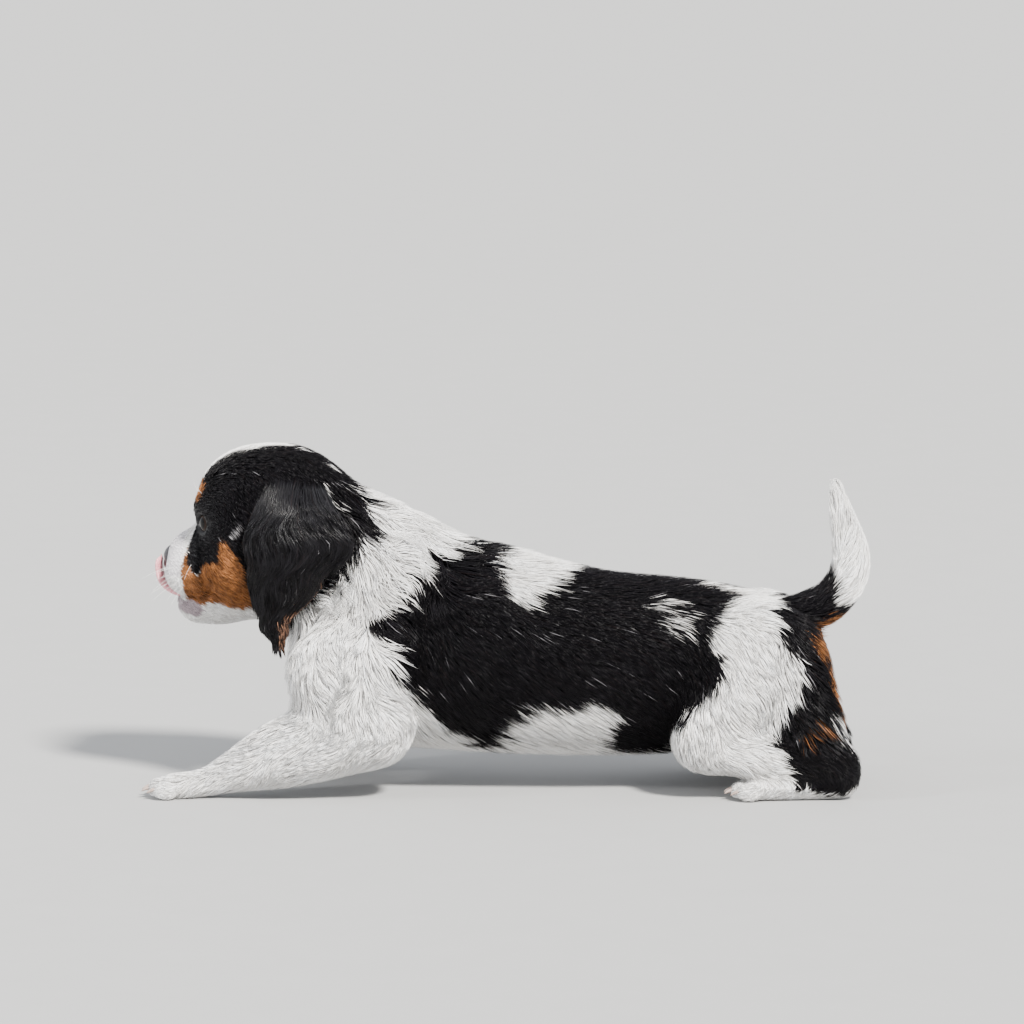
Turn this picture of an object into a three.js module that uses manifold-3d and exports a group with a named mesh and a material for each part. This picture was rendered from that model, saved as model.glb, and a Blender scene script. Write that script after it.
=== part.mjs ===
// A cavalier king charles spaniel puppy in black, white and tan, about seven weeks old,
// in a low crouching step with its tongue curled up over its nose.
// Lengths are millimetres. +Z is up, the head points to -X and the puppy's left side faces -Y.
// The origin is on the floor, under the middle of the whole length.

import * as THREE from "three";
import { mergeVertices } from "three/addons/utils/BufferGeometryUtils.js";
import Module from "manifold-3d";

const wasm = await Module();
wasm.setup();

// Driving dimensions
const GAP = 0.3; // clear space between neighbouring solids
const HEAD_CENTRE = new THREE.Vector3(-108, 0, 128); // middle of the braincase
const HEAD_TURN = THREE.MathUtils.degToRad(14); // the head looks away from the left side
const EYE = { f: 25, s: 12.8, u: -4.6, radius: 7.2, gaze: THREE.MathUtils.degToRad(36) };
const CENTRE_SHIFT = new THREE.Vector3(1.5, 0, 0); // brings the middle of the whole over the origin
const LEFT = 1;
const RIGHT = -1;

// The coat's outer surface, as chains of round sections.
// A row is x, y, z, radius and width over height. Paired limbs give y as the distance from the middle.
const TRUNK = [
  [-57, 0, 60, 41.5, 0.88],
  [-25, 0, 62, 45.5, 0.88],
  [5, 0, 61.5, 46.5, 0.88],
  [40, 0, 57.5, 43, 0.95],
  [78, 0, 56.5, 40.5, 0.95],
  [104, 0, 58, 34, 0.98],
  [120, 0, 60, 25.5, 1],
];
const NECK = [
  [-92, 3, 121, 26.5, 1],
  [-62, 1, 107, 28, 0.98],
  [-34, 0, 90, 28.5, 1],
  [-8, 0, 74, 33, 0.98],
];
const RUFF = [
  [-92, 2, 99, 20, 1.1],
  [-79, 0, 78, 24, 1.15],
  [-67, 0, 58, 31, 1.02],
];
const SHOULDER = [
  [-54, 25, 71, 16, 1],
  [-78, 29, 57, 18, 1],
];
const ELBOW = [
  [-80, 30, 56, 18, 1],
  [-64, 33, 37, 17.5, 1],
];
const HAUNCH = [
  [115, 19, 64, 24, 1],
  [103, 24, 48, 23, 1],
  [89, 32, 28, 15.5, 1],
];
const HAMSTRING = [
  [122, 19, 58, 22.5, 1],
  [131, 24, 39, 20.5, 1],
  [140, 31, 25, 14, 1],
];
const SHANK = [
  [90, 33, 27, 14, 1],
  [112, 35, 21.5, 12.5, 1],
  [138, 36, 18.5, 11, 1],
  [150, 36, 16, 9.5, 1],
];
const HIND_FOOT = [
  [151, 36, 9, 8.8, 0.95],
  [138, 36, 7, 7.5, 1],
  [120, 36.5, 6, 6.6, 1.3],
  [113, 37, 5.6, 6.2, 1.5],
];
const FOREARM_REACHING = [
  [-62, 33, 32, 17.5, 1],
  [-84, 33, 26.5, 18, 1],
  [-104, 33, 20.5, 16, 0.95],
  [-120, 32.5, 14.5, 11.5, 0.98],
  [-130, 32, 10.5, 8.5, 1],
  [-139, 32, 7.2, 6.6, 1.15],
  [-148, 32, 5.6, 6.2, 1.45],
  [-154, 32, 5.2, 6, 1.6],
];
const FOREARM_STANDING = [
  [-60, 33, 32, 17, 1],
  [-76, 34, 25, 14.5, 1],
  [-89, 34.5, 16.5, 10.5, 1],
  [-97, 35, 9.6, 7.6, 1.1],
  [-105, 35, 5.9, 6.5, 1.4],
  [-111, 35, 5.3, 6.1, 1.6],
];
const TAIL = [
  [122, 0, 73, 13, 1],
  [138, 0, 80.5, 10.5, 1],
  [148, 0, 86.5, 9.3, 1],
  [155.5, 0, 96.5, 9, 1],
  [157, 0, 107.5, 8.6, 1],
  [154.5, 0, 119, 7, 1],
  [151.5, 0, 130.5, 5, 1],
  [150, 0, 140, 2.8, 1],
];
const TOE = { radius: 4.4, length: 6.2, spread: [-7.2, -2.6, 2.6, 7.2], lead: [0, 2.6, 2.6, 0] };

// The head's masses on its own axes: f forwards, s to its left, u up, all from the braincase's middle.
// A row is f, s, u, then the radii along f, s and u.
const SKULL = [
  [-1.5, 0, 0.5, 35.5, 30, 31],
  [14, 0, 6.5, 20.5, 23.5, 20.5],
  [24, 0, -13, 13, 12.5, 11],
];
const BROW = [24, 13, 1.5, 10.5, 9.5, 9.5];
const CHEEK = [8, 14, -20.5, 24, 16.5, 22.5];
const MUZZLE = [37, 0, -24, 15.2, 15, 14.4];
const FLEW = [36, 8, -30.5, 14.2, 9.5, 10.5];
const THROAT = [2, 0, -37, 28, 19.5, 14];
const LOWER_JAW = [
  [28, 0, -42.8, 18.5, 13.5, 11.2],
  [37.2, 0, -45, 8.4, 9.5, 7.8],
];

// The nose pad sits on the muzzle's front, and the tongue comes out of the mouth and curls over it.
// A row of the tongue is f, u, half of the width and half of the thickness.
const NOSE = { f: 47.8, u: -23.8, radii: [5.4, 8, 6.8] };
const TONGUE_SIDE = 1;
const TONGUE = [
  [38, -39.4, 5, 1.5],
  [46, -39.2, 5.2, 1.6],
  [52, -36.2, 5, 1.6],
  [55, -31, 4.7, 1.5],
  [55.4, -25.8, 4.2, 1.4],
  [54.6, -21.8, 2.8, 1.1],
];

// An ear hangs as a leaf from the side of the skull, bowed outside and hollow inside.
// A row is f, s, u of the middle line, half of the width and half of the thickness.
const EAR = [
  [-15, 27.5, 10, 12, 2.2],
  [-17, 32.5, 3, 19, 2.6],
  [-19, 36, -8, 24, 2.6],
  [-16.5, 36.5, -20, 22, 2.5],
  [-13, 35.5, -31, 16.5, 2.4],
  [-8.5, 33.5, -43, 10, 2.3],
  [-8.5, 32, -50, 8, 2.1],
  [-9.8, 30.5, -56, 4.4, 1.6],
];
const EAR_CUP = 4.5; // how far the ear's edges bend in towards the head

// Locks of the long coat, in rows from one place to another. Rows on paired pieces are mirrored.
// The comb is the way they lie, the lift is how far a tip stands off, and the curl bends a lock sideways.
const LOCK = { sunk: 2, thick: 1.2, jitter: 2, standing: 0.8 };
const LOCK_WIDTHS = [0.85, 1, 0.62]; // share of the width at each ring of a lock
const LOCK_SPOTS = [-0.04, 0.36, 0.72]; // share of the length at each ring of a lock
const BELLY = { count: 8, length: 19, width: 7.5, lift: 3 };
const CHEST = { length: 20, width: 8.5, lift: 2.5 };
const COLLAR = { count: 3, length: 19, width: 8, lift: 3 };
const PLUME = { length: 15, width: 6, lift: 5 };
const LOCK_ROWS = {
  torso: [
    { from: [-50, -26, 20], to: [82, -24, 17], comb: [1, -0.1, -0.45], ...BELLY },
    { from: [-50, 26, 20], to: [82, 24, 17], comb: [1, 0.1, -0.45], ...BELLY },
    { from: [-84, -17, 34], to: [-84, 17, 34], comb: [0.5, 0, -1], count: 4, ...CHEST },
  ],
  neck: [
    { from: [-98, -24, 62], to: [-98, 24, 62], comb: [0.1, 0, -1], count: 5, ...CHEST },
    { from: [-100, -18, 80], to: [-98, 20, 80], comb: [0, 0, -1], count: 4, ...CHEST },
    { from: [-82, -30, 88], to: [-60, -34, 84], comb: [0.45, 0, -1], ...COLLAR },
    { from: [-80, 32, 86], to: [-60, 34, 84], comb: [0.45, 0, -1], ...COLLAR },
    { from: [-76, -24, 126], to: [-62, -30, 104], comb: [0.8, 0, -0.8], ...COLLAR },
    { from: [-70, 26, 126], to: [-62, 30, 104], comb: [0.8, 0, -0.8], ...COLLAR },
  ],
  forearm: [
    { from: [-50, 47, 40], to: [-50, 42, 22], comb: [1, 0.1, -0.1], count: 3, length: 17, width: 7, lift: 4 },
    { from: [-100, 38, 8], to: [-62, 41, 15], comb: [1, 0, -0.1], count: 4, length: 17, width: 7, lift: 2.5 },
  ],
  thigh: [
    { from: [141, 20, 72], to: [150, 25, 38], comb: [0.35, 0, -1], count: 5, length: 16, width: 7, lift: 3 },
    { from: [137, 38, 50], to: [145, 39, 33], comb: [0.6, 0, -1], count: 3, length: 15, width: 7, lift: 2.5 },
  ],
  tail_base: [
    { from: [138, -6, 71], to: [152, -5, 80], comb: [0.8, -0.1, -0.7], count: 3, ...PLUME },
    { from: [138, 6, 71], to: [152, 5, 80], comb: [0.8, 0.1, -0.7], count: 2, ...PLUME },
  ],
};
// A row on an ear is how far down it the locks start and end, and across from the rear edge to the front one.
const EAR_LOCKS = [
  { from: 0.26, to: 0.8, across: -0.84, count: 5, comb: [-0.45, 0, -1], length: 18, width: 8.5, curl: 0.2 },
  { from: 0.5, to: 0.8, across: 0.8, count: 3, comb: [-0.1, 0, -1], length: 15, width: 7, curl: -0.1 },
  { from: 0.84, to: 0.9, across: 0.1, count: 1, comb: [-0.12, 0, -1], length: 14, width: 7, curl: 0.15 },
];

const toWorld = (f, s, u) =>
  new THREE.Vector3(
    HEAD_CENTRE.x - f * Math.cos(HEAD_TURN) - s * Math.sin(HEAD_TURN),
    HEAD_CENTRE.y + f * Math.sin(HEAD_TURN) - s * Math.cos(HEAD_TURN),
    HEAD_CENTRE.z + u,
  );
const headWay = (f, s, u) => toWorld(f, s, u).sub(HEAD_CENTRE).normalize();

function toHead(p) {
  const x = p.x - HEAD_CENTRE.x;
  const y = p.y - HEAD_CENTRE.y;
  return [
    -x * Math.cos(HEAD_TURN) + y * Math.sin(HEAD_TURN),
    -x * Math.sin(HEAD_TURN) - y * Math.cos(HEAD_TURN),
    p.z - HEAD_CENTRE.z,
  ];
}

const curve = (points) => new THREE.CatmullRomCurve3(points, false, "catmullrom");

// Masses. Each has a distance from its surface, negative inside, and the width over which it blends.

function chain(rows, blend, side = LEFT, steps = 3) {
  const places = curve(rows.map(([x, y, z]) => new THREE.Vector3(x, -y * side, z)));
  const sizes = curve(rows.map((row) => new THREE.Vector3(row[3], row[4], 0)));
  const count = (rows.length - 1) * steps;
  const at = places.getPoints(count);
  const size = sizes.getPoints(count);
  return {
    blend,
    distance(p) {
      let least = Infinity;
      for (let i = 0; i < count; i++) {
        const a = at[i];
        const dx = at[i + 1].x - a.x;
        const dy = at[i + 1].y - a.y;
        const dz = at[i + 1].z - a.z;
        const along = (p.x - a.x) * dx + (p.y - a.y) * dy + (p.z - a.z) * dz;
        const t = Math.min(1, Math.max(0, along / (dx * dx + dy * dy + dz * dz)));
        const radius = size[i].x + (size[i + 1].x - size[i].x) * t;
        const width = size[i].y + (size[i + 1].y - size[i].y) * t;
        const sideways = (p.y - a.y - dy * t) / width;
        const away = Math.hypot(p.x - a.x - dx * t, sideways, p.z - a.z - dz * t);
        least = Math.min(least, (away - radius) * Math.min(1, width));
      }
      return least;
    },
  };
}

function egg([f, s, u, rf, rs, ru], blend, side = LEFT) {
  return {
    blend,
    distance(p, h) {
      const x = h[0] - f;
      const y = h[1] - s * side;
      const z = h[2] - u;
      const near = Math.hypot(x / rf, y / rs, z / ru);
      const slope = Math.hypot(x / (rf * rf), y / (rs * rs), z / (ru * ru));
      return slope > 0 ? (near * (near - 1)) / slope : -Math.min(rf, rs, ru);
    },
  };
}

function smoothLeast(a, b, blend) {
  const share = Math.max(blend - Math.abs(a - b), 0) / blend;
  return Math.min(a, b) - (share * share * blend) / 4;
}

// A field joins masses into one smooth surface and then presses hollows into it.
function field(masses, hollows = []) {
  return (p) => {
    const h = toHead(p);
    let d = Infinity;
    for (const mass of masses) d = smoothLeast(d, mass.distance(p, h), mass.blend);
    for (const hollow of hollows) d = -smoothLeast(-d, hollow.distance(p, h), hollow.blend);
    return d;
  };
}

const pair = (make) => [make(LEFT), make(RIGHT)];
const eyeFront = EYE.radius + 3.4;
const eyeBowl = [
  EYE.f + eyeFront * Math.cos(EYE.gaze),
  EYE.s + eyeFront * Math.sin(EYE.gaze),
  EYE.u,
  6.4,
  6.4,
  6.1,
];
const fields = {
  torso: field([chain(TRUNK, 6), chain(NECK, 14), chain(RUFF, 12)]),
  neck: field([chain(TRUNK, 6), chain(NECK, 14), chain(RUFF, 12), egg(THROAT, 8)]),
  head: field(
    [
      ...SKULL.map((row) => egg(row, 8)),
      ...pair((side) => egg(BROW, 5, side)),
      ...pair((side) => egg(CHEEK, 8, side)),
      egg(MUZZLE, 8),
      ...pair((side) => egg(FLEW, 5, side)),
    ],
    pair((side) => egg(eyeBowl, 1.5, side)),
  ),
  jaw: field([egg(LOWER_JAW[0], 4), egg(LOWER_JAW[1], 4), egg(THROAT, 6)]),
  tail: field([chain(TAIL, 6)]),
  foreleg: {},
  hindleg: {},
  hindfoot: {},
};
for (const side of [LEFT, RIGHT]) {
  const forearm = side === LEFT ? FOREARM_REACHING : FOREARM_STANDING;
  const hind = [chain(HAUNCH, 10, side), chain(HAMSTRING, 16, side), chain(SHANK, 8, side)];
  fields.foreleg[side] = field([chain(SHOULDER, 10, side), chain(ELBOW, 22, side), chain(forearm, 12, side)]);
  fields.hindleg[side] = field(hind);
  fields.hindfoot[side] = field([...hind, chain(HIND_FOOT, 5, side)]);
}

// Shapes

// The first place where a ray from inside the flesh comes out of it.
function comeOut(from, way, surface, reach, level) {
  const at = (t) => from.clone().addScaledVector(way, t);
  const depth = (t) => surface(at(t)) - level;
  let inside = 0;
  let outside = 0;
  while (outside < reach) {
    const d = depth(outside);
    if (d > 0) break;
    inside = outside;
    outside += Math.max(0.3, -d * 0.7);
  }
  outside = Math.min(outside, reach);
  if (depth(outside) <= 0) return at(outside);
  for (let halving = 0; halving < 12; halving++) {
    const middle = (inside + outside) / 2;
    if (depth(middle) > 0) outside = middle;
    else inside = middle;
  }
  return at(inside);
}

// A closed surface from rings of points, with a point at each end. Rings run from start to end.
function closeRings(rings, start, end) {
  const sides = rings[0].length;
  const points = [start, ...rings.flat(), end];
  const last = points.length - 1;
  const index = [];
  const at = (ring, side) => 1 + ring * sides + (side % sides);
  for (let j = 0; j < sides; j++) {
    index.push(0, at(0, j + 1), at(0, j));
    for (let i = 0; i < rings.length - 1; i++) {
      index.push(at(i, j), at(i, j + 1), at(i + 1, j + 1));
      index.push(at(i, j), at(i + 1, j + 1), at(i + 1, j));
    }
    index.push(last, at(rings.length - 1, j), at(rings.length - 1, j + 1));
  }
  const geometry = new THREE.BufferGeometry().setFromPoints(points);
  geometry.setIndex(index);
  return geometry;
}

// Rings around an axis, pushed out to the surface, with a rounded fan of rings at each end.
function wrap(surface, { axis, rings, sides, caps, reach, level }) {
  const path = new THREE.CatmullRomCurve3(axis.map((p) => (p.isVector3 ? p : new THREE.Vector3(...p))));
  const across = new THREE.Vector3(0, 1, 0);
  const ring = (origin, tangent, lean) => {
    const side = across.clone().addScaledVector(tangent, -across.dot(tangent)).normalize();
    const up = tangent.clone().cross(side);
    return Array.from({ length: sides }, (_, j) => {
      const angle = ((j + 0.5) / sides) * 2 * Math.PI;
      const way = side
        .clone()
        .multiplyScalar(Math.cos(angle) * Math.cos(lean))
        .addScaledVector(up, Math.sin(angle) * Math.cos(lean))
        .addScaledVector(tangent, Math.sin(lean));
      return comeOut(origin, way, surface, reach, level);
    });
  };
  const made = [];
  const ends = [0, 1].map((t) => ({ origin: path.getPoint(t), tangent: path.getTangent(t) }));
  const leans = Array.from({ length: caps }, (_, i) => ((i + 1) / (caps + 1)) * (Math.PI / 2));
  for (const lean of leans.toReversed()) made.push(ring(ends[0].origin, ends[0].tangent, -lean));
  for (let i = 0; i < rings; i++) {
    const t = i / (rings - 1);
    made.push(ring(path.getPointAt(t), path.getTangentAt(t), 0));
  }
  for (const lean of leans) made.push(ring(ends[1].origin, ends[1].tangent, lean));
  const start = comeOut(ends[0].origin, ends[0].tangent.clone().negate(), surface, reach, level);
  const end = comeOut(ends[1].origin, ends[1].tangent, surface, reach, level);
  return solid(closeRings(made, start, end));
}

function solid(geometry) {
  const bare = geometry.index ? geometry.toNonIndexed() : geometry.clone();
  for (const name of Object.keys(bare.attributes)) if (name !== "position") bare.deleteAttribute(name);
  const merged = mergeVertices(bare, 1e-4);
  return new wasm.Manifold(
    new wasm.Mesh({
      numProp: 3,
      vertProperties: new Float32Array(merged.attributes.position.array),
      triVerts: new Uint32Array(merged.index.array),
    }),
  );
}

function geometryOf(shape) {
  const mesh = shape.getMesh();
  const position = new Float32Array(mesh.numVert * 3);
  for (let i = 0; i < mesh.numVert; i++)
    position.set(mesh.vertProperties.subarray(i * mesh.numProp, i * mesh.numProp + 3), i * 3);
  const geometry = new THREE.BufferGeometry();
  geometry.setAttribute("position", new THREE.BufferAttribute(position, 3));
  geometry.setIndex(new THREE.BufferAttribute(new Uint32Array(mesh.triVerts), 1));
  geometry.computeVertexNormals();
  return geometry;
}

const join = (shapes) => wasm.Manifold.union(shapes);

// A ball with its own radii, turned about Z and then moved.
function ball(at, [rx, ry, rz], turn = 0, wide = 14, high = 8) {
  const geometry = new THREE.SphereGeometry(1, wide, high);
  geometry.rotateX(Math.PI / 2).scale(rx, ry, rz).rotateZ(turn).translate(at.x, at.y, at.z);
  return solid(geometry);
}

function largest(shape) {
  return shape.decompose().reduce((a, b) => (b.volume() > a.volume() ? b : a));
}

// Cutting planes. A piece keeps the side that the normal points to, back from the plane by half the gap.
const plane = (x, y, z, normal) => ({
  at: new THREE.Vector3(x, y, z),
  normal: new THREE.Vector3(...normal).normalize(),
});
const flip = ({ at, normal }) => ({ at, normal: normal.clone().negate() });
function keep(shape, cut, level) {
  return shape.trimByPlane(cut.normal.toArray(), cut.normal.dot(cut.at) + GAP / 2 - level);
}
const neckBase = plane(-52, 0, 96, [0.86, 0, -0.51]);
const throatBase = { at: toWorld(2, 0, -30), normal: headWay(1, 0, 0) };
const elbowCut = plane(-100, 0, 45, [0.3, 0, 0.954]);
const wristCut = { [LEFT]: plane(-136, 0, 8, [1, 0, 0.1]), [RIGHT]: plane(-95, 0, 11, [0.9, 0, 0.42]) };
const stifleCut = plane(72, 0, 12, [-0.19, 0, 0.982]);
const hockCut = plane(120, 0, 12, [0, 0, 1]);
const tailBase = plane(127, 0, 78, [0.86, 0, 0.51]);
const tailBend = plane(152, 0, 91, [0.65, 0, 0.76]);
const ownHalf = (side) => plane(0, 0, 0, [0, -side, 0]);

// The tongue: a bent strip with a groove along the face that shows
function tongueShape(level) {
  const path = curve(TONGUE.map(([f, u]) => new THREE.Vector3(f, 0, u)));
  const size = curve(TONGUE.map(([, , half, thick]) => new THREE.Vector3(half, thick, 0)));
  const count = 10;
  const sides = 10;
  const groove = 0.5;
  const place = (t, across, lift) => {
    const p = path.getPoint(t);
    const along = path.getTangent(t);
    return toWorld(p.x - along.z * lift, TONGUE_SIDE + across, p.z + along.x * lift);
  };
  const rings = Array.from({ length: count }, (_, i) => {
    const t = i / (count - 1);
    const { x: half, y: thick } = size.getPoint(t);
    return Array.from({ length: sides }, (_, j) => {
      const angle = (j / sides) * 2 * Math.PI;
      const across = Math.cos(angle) * (half + level);
      const sunk = Math.sin(angle) < 0 ? groove * (1 - Math.abs(Math.cos(angle))) : 0;
      return place(t, across, Math.sin(angle) * (thick + level) + sunk);
    });
  });
  const tip = path.getPoint(1).addScaledVector(path.getTangent(1), 1.2 + level);
  return solid(closeRings(rings, place(0, 0, 0), toWorld(tip.x, TONGUE_SIDE, tip.z)));
}

// The nose pad, with two comma-shaped nostrils
function noseShape(level) {
  const pad = ball(toWorld(NOSE.f, 0, NOSE.u), NOSE.radii.map((r) => r + level), -HEAD_TURN, 16, 9);
  if (level) return pad;
  const nostrils = pair((side) =>
    join([
      ball(toWorld(NOSE.f + 5, side * 3.9, NOSE.u + 0.6), [2.2, 1.5, 1.5], -HEAD_TURN - side * 0.5, 7, 4),
      ball(toWorld(NOSE.f + 3.6, side * 6.6, NOSE.u - 0.6), [2.4, 2.2, 0.8], -HEAD_TURN - side * 0.8, 7, 4),
    ]),
  );
  return pad.subtract(join(nostrils));
}

// The lids: a rim that rings each eye, a little wider than it is tall
function lids(side) {
  const radius = 4.9;
  const thick = 1.1;
  const ring = new THREE.TorusGeometry(radius, thick, 5, 16);
  ring.scale(1, 0.92, 1).rotateY(-Math.PI / 2).translate(-Math.hypot(EYE.radius, radius) * 0.69, 0, 0);
  ring.rotateZ(EYE.gaze * side - HEAD_TURN).translate(...toWorld(EYE.f, EYE.s * side, EYE.u).toArray());
  return solid(ring);
}

// The lips: a thin roll along the upper edge of the mouth, from one corner round to the other
function lips(level) {
  const count = 13;
  const sides = 5;
  const spread = THREE.MathUtils.degToRad(108);
  const middle = toWorld(28, 0, -34);
  const spots = Array.from({ length: count }, (_, i) => {
    const angle = ((2 * i) / (count - 1) - 1) * spread;
    return comeOut(middle, headWay(Math.cos(angle), Math.sin(angle), -0.62), fields.head, 30, -0.3);
  });
  const path = curve(spots);
  const rings = spots.map((_, i) => {
    const t = i / (count - 1);
    const at = path.getPoint(t);
    const tangent = path.getTangent(t);
    const across = new THREE.Vector3(0, 0, 1).addScaledVector(tangent, -tangent.z).normalize();
    const up = tangent.clone().cross(across);
    return Array.from({ length: sides }, (_, j) => {
      const angle = (j / sides) * 2 * Math.PI;
      const radius = 1.2 + level;
      return at
        .clone()
        .addScaledVector(across, Math.cos(angle) * radius)
        .addScaledVector(up, Math.sin(angle) * radius);
    });
  });
  const beyond = 1 + level;
  const ends = [
    path.getPoint(0).addScaledVector(path.getTangent(0), -beyond),
    path.getPoint(1).addScaledVector(path.getTangent(1), beyond),
  ];
  return solid(closeRings(rings, ends[0], ends[1]));
}

// A place on an ear, at t down its middle line, across from its rear edge (-1) to its front edge (1)
const earPath = curve(EAR.map(([f, s, u]) => new THREE.Vector3(f, s, u)));
const earSize = curve(EAR.map(([, , , half, thick]) => new THREE.Vector3(half, thick, 0)));
function onEar(side, t, across, out, extra = 0) {
  const p = earPath.getPoint(t);
  const { x: half, y: thick } = earSize.getPoint(t);
  const bend = EAR_CUP * Math.min(1, half / 16) * across * across;
  return toWorld(p.x + across * (half + extra), (p.y - bend + out * (thick + extra)) * side, p.z);
}
function earShape(side, level) {
  const count = 11;
  const sides = 14;
  const rings = Array.from({ length: count }, (_, i) =>
    Array.from({ length: sides }, (_, j) => {
      const angle = (j / sides) * -2 * Math.PI * side;
      return onEar(side, i / (count - 1), Math.cos(angle), Math.sin(angle), level);
    }),
  );
  const top = onEar(side, 0, 0, 0).add(new THREE.Vector3(0, 0, 2.5 + level));
  const tip = onEar(side, 1, 0, 0).add(new THREE.Vector3(0, 0, -3 - level));
  return solid(closeRings(rings, top, tip));
}

// Four toes and their claws at the front of a foot
function toes([x, y, z], side, size, level) {
  const { radius, length, spread, lead } = TOE;
  const made = spread.flatMap((across, i) => {
    const at = new THREE.Vector3(x - lead[i], -side * (y + across * size), z);
    const radii = [length * size + level, radius * size * 0.86 + level, radius * size * 1.1 + level];
    const claw = new THREE.ConeGeometry(0.9 + level, 5 + level, 4);
    claw.rotateZ(Math.PI / 2 + 0.45).translate(at.x - length * size - 0.4, at.y, at.z - 0.6);
    return [ball(at, radii, 0, 7, 4), solid(claw)];
  });
  return join(made);
}
const onFloor = (shape) => shape.trimByPlane([0, 0, 1], 0);

// A lock: a flat blade whose root is sunk in the coat, which tapers and bends to a point
function lock({ root, comb, out, length, width, lift, curl }, level) {
  const side = comb.clone().cross(out).normalize();
  const place = (t) =>
    root
      .clone()
      .addScaledVector(comb, length * t)
      .addScaledVector(out, -LOCK.sunk + (LOCK.sunk + lift) * t)
      .addScaledVector(side, curl * length * t * t);
  const rings = LOCK_SPOTS.map((t, i) => {
    const at = place(t);
    const tangent = place(t + 0.02).sub(at).normalize();
    const across = side.clone().addScaledVector(tangent, -side.dot(tangent)).normalize();
    const up = tangent.clone().cross(across);
    const half = (width / 2) * LOCK_WIDTHS[i] + level;
    const thick = LOCK.thick * LOCK_WIDTHS[i] + level;
    const corner = (way, r) => at.clone().addScaledVector(way, r);
    return [corner(across, half), corner(up, thick), corner(across, -half), corner(up, -thick)];
  });
  return solid(closeRings(rings, place(-0.12 - level / length), place(1 + (2 * level) / length)));
}

function seeded(seed) {
  let state = seed;
  return () => {
    state = (state * 1664525 + 1013904223) % 4294967296;
    return state / 4294967296;
  };
}

// The nearest place on a field's surface, and the way out of the flesh there
function onSurface(surface, p) {
  const step = 0.5;
  const slope = (q) =>
    new THREE.Vector3(
      surface(new THREE.Vector3(q.x + step, q.y, q.z)) - surface(new THREE.Vector3(q.x - step, q.y, q.z)),
      surface(new THREE.Vector3(q.x, q.y + step, q.z)) - surface(new THREE.Vector3(q.x, q.y - step, q.z)),
      surface(new THREE.Vector3(q.x, q.y, q.z + step)) - surface(new THREE.Vector3(q.x, q.y, q.z - step)),
    ).divideScalar(2 * step);
  const root = p.clone();
  for (let pass = 0; pass < 8; pass++) {
    const way = slope(root);
    root.addScaledVector(way, -surface(root) / Math.max(way.lengthSq(), 0.25));
  }
  return { root, out: slope(root).normalize() };
}

function locksOn(piece, side, level) {
  const surface = fields[{ thigh: "hindleg", forearm: "foreleg", tail_base: "tail" }[piece] ?? piece];
  const paired = piece === "thigh" || piece === "forearm";
  const mirror = paired ? -side : 1;
  const random = seeded(piece.length * 77 + 5);
  const made = [];
  for (const { from, to, count, comb, length, width, lift } of LOCK_ROWS[piece]) {
    for (let i = 0; i < count; i++) {
      const t = (i + 0.5) / count;
      const vary = () => (random() - 0.5) * LOCK.jitter;
      const spot = from.map((start, axis) => start + (to[axis] - start) * t + vary());
      spot[1] *= mirror;
      const reach = side === RIGHT && piece === "forearm" ? LOCK.standing : 1;
      const at = onSurface(paired ? surface[side] : surface, new THREE.Vector3(...spot));
      const lie = new THREE.Vector3(comb[0], comb[1] * mirror + (random() - 0.5) * 0.3, comb[2]);
      lie.addScaledVector(at.out, -lie.dot(at.out)).normalize();
      const size = (0.85 + 0.3 * random()) * reach;
      const curl = (random() - 0.5) * 0.4 * mirror;
      made.push(lock({ ...at, comb: lie, length: length * size, width, lift, curl }, level));
    }
  }
  return made;
}

function locksOnEar(side, level) {
  const random = seeded(31);
  const made = [];
  for (const { from, to, across, count, comb, length, width, curl } of EAR_LOCKS) {
    for (let i = 0; i < count; i++) {
      const t = from + (to - from) * ((i + 0.5) / count) + (random() - 0.5) * 0.03;
      const root = onEar(side, t, across, 0.2);
      const out = headWay(0, side, 0.1);
      const lie = headWay(comb[0], side * (0.1 + 0.12 * random()), comb[2]);
      lie.addScaledVector(out, -lie.dot(out)).normalize();
      const size = 0.85 + 0.3 * random();
      const bend = curl * side * (0.6 + 0.8 * random());
      made.push(lock({ root, comb: lie, out, length: length * size, width, lift: 1.2, curl: bend }, level));
    }
  }
  return made;
}

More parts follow.
